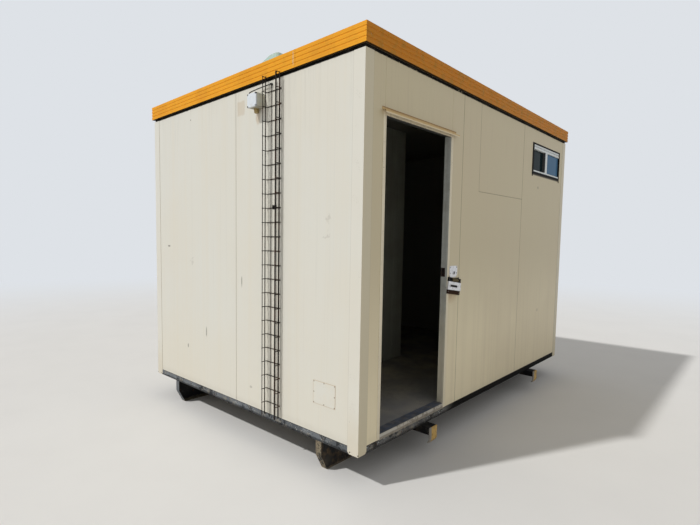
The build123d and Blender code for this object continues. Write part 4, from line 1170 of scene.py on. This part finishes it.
class CABIN_OT_lock(bpy.types.Operator):
    """Finishes the lock plate and guard, and adds their screws and keyhole"""
    bl_idname = "cabin.lock"
    bl_label = "Lock"

    def execute(self, context):
        fittings = context.scene.cabin_fittings
        plate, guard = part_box("lock_plate"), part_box("lock_guard")
        worn = [(("blotches", 0.02, 0.42, 0.70), "grime", 0.25, 0.5),
                (("scratches", 0.03, 0.0008, 0.42), "scuff", 0.50, 0.4)]
        fine = relief(0.001, 0.00002)
        dress(coat("lock_plate_metal", "lock", 0.42, worn, fine, metal=0.65), "lock_plate")
        ease(0.0008, "lock_plate")
        turn = Matrix.Rotation(fittings.guard_tilt, 3, "Y")
        drop = Vector((0.0, 0.0, -fittings.guard_drop))
        centre = (guard[0] + guard[1]) / 2
        finish = self.guard_metal(guard, turn, centre, centre + drop, worn, fine)

        def build(work):
            work.from_mesh(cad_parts["lock_guard"].data)
            bmesh.ops.remove_doubles(work, verts=work.verts, dist=NEAR)
            bmesh.ops.dissolve_limit(work, angle_limit=FLAT, verts=work.verts, edges=work.edges)
            bmesh.ops.rotate(work, cent=centre, matrix=turn, verts=work.verts)
            bmesh.ops.translate(work, vec=drop, verts=work.verts)
        piece = new_piece("lock_guard_tilted", mesh_from("lock_guard_tilted", build), finish, "lock_metal",
                          "lock_guard")
        bevel(piece, 0.0008)
        self.heads(plate, guard, turn, centre + drop, context.scene.cabin_fixings)
        self.keyhole(plate, fittings.keyhole)
        return {"FINISHED"}

    def guard_metal(self, guard, turn, centre, hung, worn, fine):
        """Bare metal on the slotted cover, and dark bars over and under it, all turned with the guard."""
        along, up = turn @ Vector(ALONG), turn @ Vector(UP)
        level, half = up.dot(hung), (guard[1].z - guard[0].z) / 2
        cover_low, cover_high = level - half + GUARD_BAR, level + half - GUARD_BAR
        upper = zone(up, cover_high, level + 1.0, 0.0004)
        bands = worn + [
            (upper, "shade", 1.0, 0.9),
            ([upper, line(along, along.dot(hung), 0.046, 0.006)], "bolt_dirt", 0.8, 0.8),
            (zone(up, level - 1.0, cover_low, 0.0004), "bar_rust", 1.0, 0.9),
            (("chips", 0.02, 0.62), "rust", 0.50, 0.8),
            (patch((guard[0].x + 0.020, FRONT, centre.z + 0.004), (0.005, 0.1, 0.013), 0.4, 0.9, 0.01),
             "scuff", 0.85, 0.7),
        ]
        cover = zone(up, cover_low, cover_high, 0.0004)
        return coat("lock_guard_metal", "lock", 0.42, bands, fine, gloss=0.1, metal=(cover, 0.65))

    def heads(self, plate, guard, turn, hung, fixing):
        """Four screws of the plate, and four that went with the guard when it slipped."""
        dark = coat("lock_screw_metal", "dark", 0.4, [(("blotches", 0.003, 0.4, 0.7), "lock", 0.35, 0.4)],
                    metal=0.6)
        plate_face, guard_face, inset, foot_inset = FRONT - 0.004, FRONT - 0.010, 0.012, 0.032
        marks = [(Vector((x, plate_face, z)), TO_FRONT) for x in (plate[0].x + inset, plate[1].x - inset)
                 for z in (plate[0].z + foot_inset, plate[1].z - inset)]
        reach = (guard[1] - guard[0]) / 2 - Vector((0.014, 0.0, 0.015))
        for across in (-reach.x, reach.x):
            for up in (-reach.z, reach.z):
                at = hung + turn @ Vector((across, 0.0, up))
                marks.append((Vector((at.x, guard_face, at.z)), TO_FRONT))
        fixings("lock_screws", marks, fixing.screw_width * 1.15, fixing.screw_height, dark, "lock_metal",
                share=0.7)

    def keyhole(self, plate, tall):
        """A disc with a keyway standing on it, in the plate's collar."""
        centre = Vector(((plate[0].x + plate[1].x) / 2, plate[0].y, plate[0].z + 0.034))
        half = 0.0014

        def build(work):
            add_turned(work, centre + Vector((0.0, 0.0004, 0.0)), TO_FRONT,
                       [(0.0, 0.0110), (0.0006, 0.0110), (0.0009, 0.0106)], 24)
            add_block(work, centre - Vector((half, 0.0012, tall / 2)),
                      centre + Vector((half, 0.0002, tall / 2)), 0.0003)
        finish = coat("keyway_metal", "dark", 0.35, [(("scratches", 0.01, 0.0004, 0.4), "lock", 0.3, 0.3)],
                      metal=0.2, gloss=0.1)
        new_piece("lock_keyhole", mesh_from("lock_keyhole", build), finish, "lock_metal")


class CABIN_OT_window(bpy.types.Operator):
    """Finishes the window and beds its panes in rubber"""
    bl_idname = "cabin.window"
    bl_label = "Window"

    def execute(self, context):
        fine = relief(0.002, 0.00003)
        layers = [(("blotches", 0.04, 0.45, 0.72), "scuff", 0.12, 0.6), (looks(UP), "dust", 0.35, 0.8)]
        dress(coat("window_surround_coat", "shade", 0.6, layers, fine, gloss=0.05), "window_surround")
        low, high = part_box("window_frame")
        mullion, pane_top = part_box("window_pane_left")[1].x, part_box("window_pane_left")[1].z
        # Painted shade on the mullion's left side, and a black rubber strip along its face.
        beside_mullion = [zone(ALONG, mullion - 0.02, mullion + 0.010, 0.001),
                          zone(UP, low.z + 0.02, pane_top, 0.002)]
        layers = [
            (("blotches", 0.05, 0.45, 0.72), "dust", 0.30, 0.6),
            (("streaks", 0.006, 0.05, 0.5, 0.75), "grime", 0.25, None),
            (line(UP, high.z - 0.022, 0.0022, 0.0008), "dark", 0.85, 0.5),
            (beside_mullion, "shade", 0.92, 0.7),
        ]
        dress(coat("window_frame_coat", "window_white", 0.38, layers, fine), "window_frame")
        film = [(("blotches", 0.12, 0.35, 0.75), "dust", 0.012, 0.12),
                (("streaks", 0.012, 0.2, 0.5, 0.75), "dust", 0.015, 0.2)]
        # Each pane's colour is painted: the left one's dark room, the right one's reflected sky.
        for side in ("left", "right"):
            glass = coat(f"window_glass_{side}", f"glass_{side}", 0.10, film, gloss=0.02)
            dress(glass, f"window_pane_{side}")
        self.gaskets(context.scene.cabin_fittings.gasket, fine)
        ease(0.0015, "window_frame", "window_surround")
        return {"FINISHED"}

    def gaskets(self, width, fine):
        proud, rounding = 0.003, 0.0008

        def build(work):
            for pane in ("window_pane_left", "window_pane_right"):
                low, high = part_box(pane)
                inner_low, inner_high = low.x + width, high.x - width
                for x0, z0, x1, z1 in (
                        (low.x, low.z, inner_low, high.z), (inner_high, low.z, high.x, high.z),
                        (inner_low, low.z, inner_high, low.z + width),
                        (inner_low, high.z - width, inner_high, high.z)):
                    add_block(work, (x0, low.y - proud, z0), (x1, low.y, z1), rounding)
        rubber = coat("gasket_rubber", "rubber", 0.6, [(("blotches", 0.03), "worn_rubber", 0.4, 0.8)], fine)
        new_piece("pane_gaskets", mesh_from("pane_gaskets", build), rubber, "window_dark")


class CABIN_OT_tray(bpy.types.Operator):
    """Makes the wire tray on the left end wall, with its bolted strap"""
    bl_idname = "cabin.tray"
    bl_label = "Wire tray"

    def execute(self, context):
        tray = context.scene.cabin_tray
        layers = [
            (("blotches", 0.05, 0.42, 0.68), "rust", 0.22, 0.7),
            (("chips", 0.02, 0.64), "scuff", 0.35, 0.6),
            (looks(UP), "dust", 0.10, 0.8),
        ]
        coating = coat("tray_wire_coat", "wires", 0.5, layers, relief(0.002, 0.0001), gloss=0.15)
        marks, rod = self.marks(tray)
        made = node_run("tray_wires", marks, tray_tree(), Wire_Width=tray.wire_width, Bend=tray.bend,
                        Pitch=tray.pitch, Rows=tray.rows, Finish=coating)
        new_piece("tray_wires", made, None, "tray_wire", "wire_tray")
        self.clip(tray, rod, coating)
        return {"FINISHED"}

    def marks(self, tray):
        """Lines and points that stand for the wires, and where the strap holds the near side's outer wire."""
        low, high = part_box("wire_tray")
        half = tray.wire_width / 2
        rim, wall = low.x + half, high.x - half
        near, far = low.y + half, high.y - half
        crest = high.z - half - tray.drop
        first = crest - tray.pitch
        # Long wires lie inside the cross wires, sunk into them by an eighth
        step = tray.wire_width * 0.88
        near_side, far_side = near + step * (1.0 + tray.near_extra / 2), far - step
        close, middle, top = high.x - tray.close, high.x - tray.mid, crest + half
        points, edges, held = [], [], []
        for kind, row in (
                (CROSS, [(rim, near, first), (wall, near, first), (wall, far, first), (rim, far, first)]),
                (STUB, [(rim, near, crest), (close, near, crest)]),
                (STUB, [(rim, far, crest), (middle, far, crest)])):
            start = len(points)
            points += row
            held += [(kind, 0.0, 0.0)] * len(row)
            edges += [(start + i, start + i + 1) for i in range(len(row) - 1)]
        base_top = HEAD - 0.020
        for x, y, reach, extra in (
                (rim, near_side, top, tray.near_extra), (close, near_side, top, tray.near_extra),
                (rim, far_side, top, 0.0), (middle, far_side, top, tray.mid_extra),
                (wall - step, low.y + tray.base_inset, base_top, 0.0),
                (wall - step, low.y + tray.base_inset + tray.base_pitch, base_top, 0.0)):
            points.append((x, y, low.z))
            held.append((UPRIGHT, reach - low.z, extra))
        mesh = bpy.data.meshes.new("tray_marks")
        mesh.from_pydata(points, edges, [])
        kinds = {"kind": "INT", "reach": "FLOAT", "extra": "FLOAT"}
        for name, values in zip(kinds, zip(*held)):
            mesh.attributes.new(name, kinds[name], "POINT").data.foreach_set("value", values)
        return mesh, Vector((rim, near_side, tray.clip_level))

    def clip(self, tray, rod, coating):
        """A strap folded round the near side's outer wire, with a bolt through its two ends."""
        thick, tall, leg, bend = 0.0020, 0.028, 0.015, 0.7
        reach = (tray.wire_width * (1.0 + tray.near_extra) + thick) / 2
        outer = reach + thick / 2
        bolt = rod + Vector((0.0, reach + 0.007, 0.0))
        tip, corner = reach + leg, -reach * bend
        turns = [(-reach, tip), (-reach, 0.002), (corner, corner), (0.0, -reach), (-corner, corner),
                 (reach, 0.002), (reach, tip)]

        def build(work):
            rows = []
            for i, (x, y) in enumerate(turns):
                before, after = Vector(turns[max(i - 1, 0)]), Vector(turns[min(i + 1, len(turns) - 1)])
                run = (after - before).normalized()
                aside = Vector((-run.y, run.x)) * thick / 2
                corners = ((-1, -tall / 2), (-1, tall / 2), (1, tall / 2), (1, -tall / 2))
                rows.append([work.verts.new(rod + Vector((x + sign * aside.x, y + sign * aside.y, up)))
                             for sign, up in corners])
            skin_rings(work, rows)
            stud = outer * 2 + 0.010
            add_turned(work, bolt + Vector((outer + 0.005, 0.0, 0.0)), TO_LEFT, [
                (0.0, 0.0028), (0.0004, 0.0030), (stud - 0.0004, 0.0030), (stud, 0.0028)], 16)
            for way in (-1, 1):
                add_turned(work, bolt + Vector((way * outer, 0.0, 0.0)), (way, 0, 0), [
                    (0.0, 0.0070), (0.0004, 0.0073), (0.0032, 0.0073), (0.0038, 0.0066)], 6)
        new_piece("tray_clip", mesh_from("tray_clip", build), coating, "tray_wire")


class CABIN_OT_box(bpy.types.Operator):
    """Finishes the junction box, its lid and screws, and runs the lead to its gland"""
    bl_idname = "cabin.box"
    bl_label = "Junction box and lead"

    def execute(self, context):
        fine = relief(0.002, 0.00005)
        body, (low, high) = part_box("junction_box"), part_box("junction_box_lid")
        layers = [
            (("blotches", 0.03, 0.42, 0.70), "dust", 0.35, 0.7),
            (("streaks", 0.005, 0.05, 0.5, 0.75), "grime", 0.35, None),
            # Painted shade: the box's underside and lowest edge are darker.
            (zone(UP, body[0].z - 1.0, body[0].z + 0.004, 0.003), "scuff", 0.55, 0.7),
        ]
        dress(coat("box_plastic_finish", "box", 0.5, layers, fine), "junction_box")
        inset, centre = 0.0050, (low + high) / 2
        near, far, foot, top = low.y + inset, high.y - inset, low.z + inset, high.z - inset
        layers = [
            (("blotches", 0.03, 0.50, 0.75), "dust", 0.22, 0.6),
            (("streaks", 0.004, 0.04, 0.55, 0.8), "grime", 0.20, None),
            # Painted shade in the screw recesses at the lid's corners.
            *[(patch((low.x, y, z), (0.1, 0.0075, 0.0075), 0.25, 0.2, 0.01), "shade", share, 0.7)
              for y, z, share in ((near, foot, 0.5), (near, top, 0.95), (far, foot, 0.98), (far, top, 0.98))],
        ]
        ring = [(patch((low.x, centre.y, centre.z), (0.1, radius, radius), 0.08, 0.0), height)
                for radius, height in ((0.028, 0.0010), (0.023, -0.0010))]
        dress(coat("lid_plastic_finish", "lid", 0.42, layers, fine + ring), "junction_box_lid")
        ease(0.0006, "junction_box_lid")
        self.screws(context.scene.cabin_fixings)
        self.lead(context.scene.cabin_fittings, body)
        self.gland(body)
        return {"FINISHED"}

    def screws(self, fixing):
        """Screws sunk into the lid's face until only a trace stands out."""
        low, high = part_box("junction_box_lid")
        inset, proud = 0.0055, 0.0001
        metal = coat("lid_screw_metal", "shade", 0.5, [(("blotches", 0.003), "scuff", 0.4, 0.6)])
        marks = [(Vector((low.x + fixing.screw_height - proud, y, z)), TO_LEFT)
                 for y in (low.y + inset, high.y - inset) for z in (low.z + inset, high.z - inset)]
        fixings("lid_screws", marks, fixing.screw_width, fixing.screw_height, metal, "box_plastic",
                share=0.75)

    def lead(self, fittings, body):
        """The lead from the lid's far top corner, up and over to its knob on the wall."""
        x, y, z = LEFT - 0.0145, -0.4270, 2.5180
        entry = Vector((LEFT - 0.067, body[1].y - 0.007, body[1].z))
        steps = ((0.0, 0.0, -0.004), (0.0005, -0.0005, 0.009), (0.008, -0.002, 0.017), (0.021, -0.006, 0.025),
                 (0.036, -0.017, 0.034), (0.047, -0.037, 0.0415))
        route = [entry + Vector(step) for step in steps]
        route += [(x, entry.y - 0.067, z - 0.001), (x, y + 0.050, z), (x, y, z)]
        curve = bpy.data.curves.new("lead_line", "CURVE")
        curve.dimensions, curve.resolution_u = "3D", 12
        curve.bevel_depth, curve.bevel_resolution = fittings.lead_width / 2, 4
        curve.use_fill_caps = True
        spline = curve.splines.new("NURBS")
        spline.points.add(len(route) - 1)
        for point, where in zip(spline.points, route):
            point.co = (*where, 1.0)
        spline.order_u = 3
        spline.use_endpoint_u = True
        sheath = coat("lead_sheath", "rubber", 0.5, [(("blotches", 0.02), "worn_sheath", 0.45, 0.7)],
                      relief(0.001, 0.00005))
        run = evaluated_mesh(add_object("lead_line", curve), "lead_run")
        new_piece("lead_run", run, sheath, "cable_black", "junction_lead")
        radius = fittings.gland_width / 2
        at_wall, at_lid = Vector((LEFT, y, z)), entry - Vector((0.0, 0.0, 0.002))

        def build(work):
            add_turned(work, at_wall + Vector((0.002, 0.0, 0.0)), TO_LEFT, [
                (0.0, radius), (0.006, radius), (0.0065, radius * 0.94)], 6)
            add_turned(work, at_wall - Vector((0.004, 0.0, 0.0)), TO_LEFT, [
                (0.0, radius * 0.82), (0.010, radius * 0.82), (0.0145, radius * 0.72),
                (0.0175, radius * 0.40)], 20)
            add_turned(work, at_lid, UP, [
                (0.0, radius * 0.7), (0.006, radius * 0.7), (0.0065, radius * 0.64)], 6)
        new_piece("lead_glands", mesh_from("lead_glands", build), sheath, "cable_black", "junction_lead")

    def gland(self, body):
        """The brass gland that hangs from the underside of the box, near the wall."""
        top = (LEFT - 0.024, body[1].y - 0.034, body[0].z + 0.001)

        def build(work):
            add_turned(work, top, DOWN, [
                (0.0, 0.0195), (0.0005, 0.0200), (0.0135, 0.0200), (0.0140, 0.0195)], 6)
            add_turned(work, top, DOWN, [
                (0.0130, 0.0165), (0.0250, 0.0165), (0.0290, 0.0145), (0.0310, 0.0110), (0.0312, 0.0040)], 20)
        brass = coat("gland_brass", "brass", 0.5, [(("blotches", 0.006, 0.4, 0.7), "scuff", 0.45, 0.6)],
                     relief(0.001, 0.00003), metal=0.5)
        new_piece("box_gland", mesh_from("box_gland", build), brass, "box_plastic")


class CABIN_OT_rivets(bpy.types.Operator):
    """Finishes the cover plate and sets the rivets that hold it and the trims"""
    bl_idname = "cabin.rivets"
    bl_label = "Cover plate and rivets"

    def execute(self, context):
        fixing = context.scene.cabin_fixings
        low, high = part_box("cover_plate")
        edges = [line(DEEP, low.y, 0.0016, 0.0010), line(DEEP, high.y, 0.0016, 0.0010),
                 line(UP, low.z, 0.0016, 0.0010), line(UP, high.z, 0.0016, 0.0010)]
        layers = [(("blotches", 0.10, 0.30, 0.68), "wall_warm", 0.45, None),
                  (("scratches", 0.05, 0.002, 0.55), "grime", 0.25, None),
                  *[(edge, "stain", 0.80, 0.7) for edge in edges]]
        bumps = [(("blotches", 0.08), 0.0006), (("grain", 0.003), 0.00002)]
        dress(coat("cover_plate_coat", "wall", 0.44, layers, bumps, gloss=0.35), "cover_plate")
        metal = coat("rivet_metal", "rivet", 0.45, [(("blotches", 0.004, 0.4, 0.7), "rust", 0.55, 0.7)],
                     relief(0.001, 0.00002), metal=0.4)
        inset = fixing.cover_margin
        rows = (low.y + inset, (low.y + high.y) / 2, high.y - inset)
        levels = (low.z + inset, (low.z + high.z) / 2, high.z - inset)
        marks = [(Vector((low.x, y, z)), TO_LEFT)
                 for y in rows for z in levels if (y, z) != (rows[1], levels[1])]
        fixings("cover_rivets", marks, fixing.rivet_width, fixing.rivet_height, metal, "wall_paint")
        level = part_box("corner_trim_front_left")[0].z + 0.013
        from_corner = 0.062
        marks = [(Vector((x, y, level)), way) for y in (FRONT + from_corner, BACK - from_corner)
                 for x, way in ((LEFT - TRIM_SHEET, TO_LEFT), (RIGHT + TRIM_SHEET, ALONG))]
        dark = coat("tab_rivet_metal", "scuff", 0.5, [(("blotches", 0.004), "rust", 0.5, 0.7)],
                    relief(0.001, 0.00002), metal=0.3)
        fixings("trim_rivets", marks, fixing.rivet_width * 1.2, fixing.rivet_height, dark, "trim_paint")
        return {"FINISHED"}


class CABIN_PT_sidebar(bpy.types.Panel):
    """Lists the cabin's pieces and the sizes and colours that go with them"""
    bl_label = "Site Cabin"
    bl_idname = "CABIN_PT_sidebar"
    bl_space_type = "VIEW_3D"
    bl_region_type = "UI"
    bl_category = "Cabin"

    def draw(self, context):
        for operator in OPERATORS:
            self.layout.operator(operator.bl_idname)
        for name, _ in SETTINGS:
            held = getattr(context.scene, name)
            part = self.layout.box()
            for setting in held.bl_rna.properties.keys():
                if setting not in {"rna_type", "name"}:
                    part.prop(held, setting)


OPERATORS = (CABIN_OT_stage, CABIN_OT_walls, CABIN_OT_steelwork, CABIN_OT_roof, CABIN_OT_doorway,
             CABIN_OT_lock, CABIN_OT_window, CABIN_OT_tray, CABIN_OT_box, CABIN_OT_rivets)
SETTINGS = (("cabin_stage", CabinStageSettings), ("cabin_paint", CabinPaintSettings),
            ("cabin_fixings", CabinFixingSettings), ("cabin_tray", CabinTraySettings),
            ("cabin_fittings", CabinFittingSettings))


def register():
    for name, group in SETTINGS:
        bpy.utils.register_class(group)
        setattr(bpy.types.Scene, name, PointerProperty(type=group))
    for item in (*OPERATORS, CABIN_PT_sidebar):
        bpy.utils.register_class(item)


def unregister():
    for item in (CABIN_PT_sidebar, *reversed(OPERATORS)):
        bpy.utils.unregister_class(item)
    for name, group in reversed(SETTINGS):
        delattr(bpy.types.Scene, name)
        bpy.utils.unregister_class(group)


def main():
    register()
    for operator in OPERATORS:
        group, name = operator.bl_idname.split(".")
        getattr(getattr(bpy.ops, group), name)()


if __name__ == "__main__":
    main()
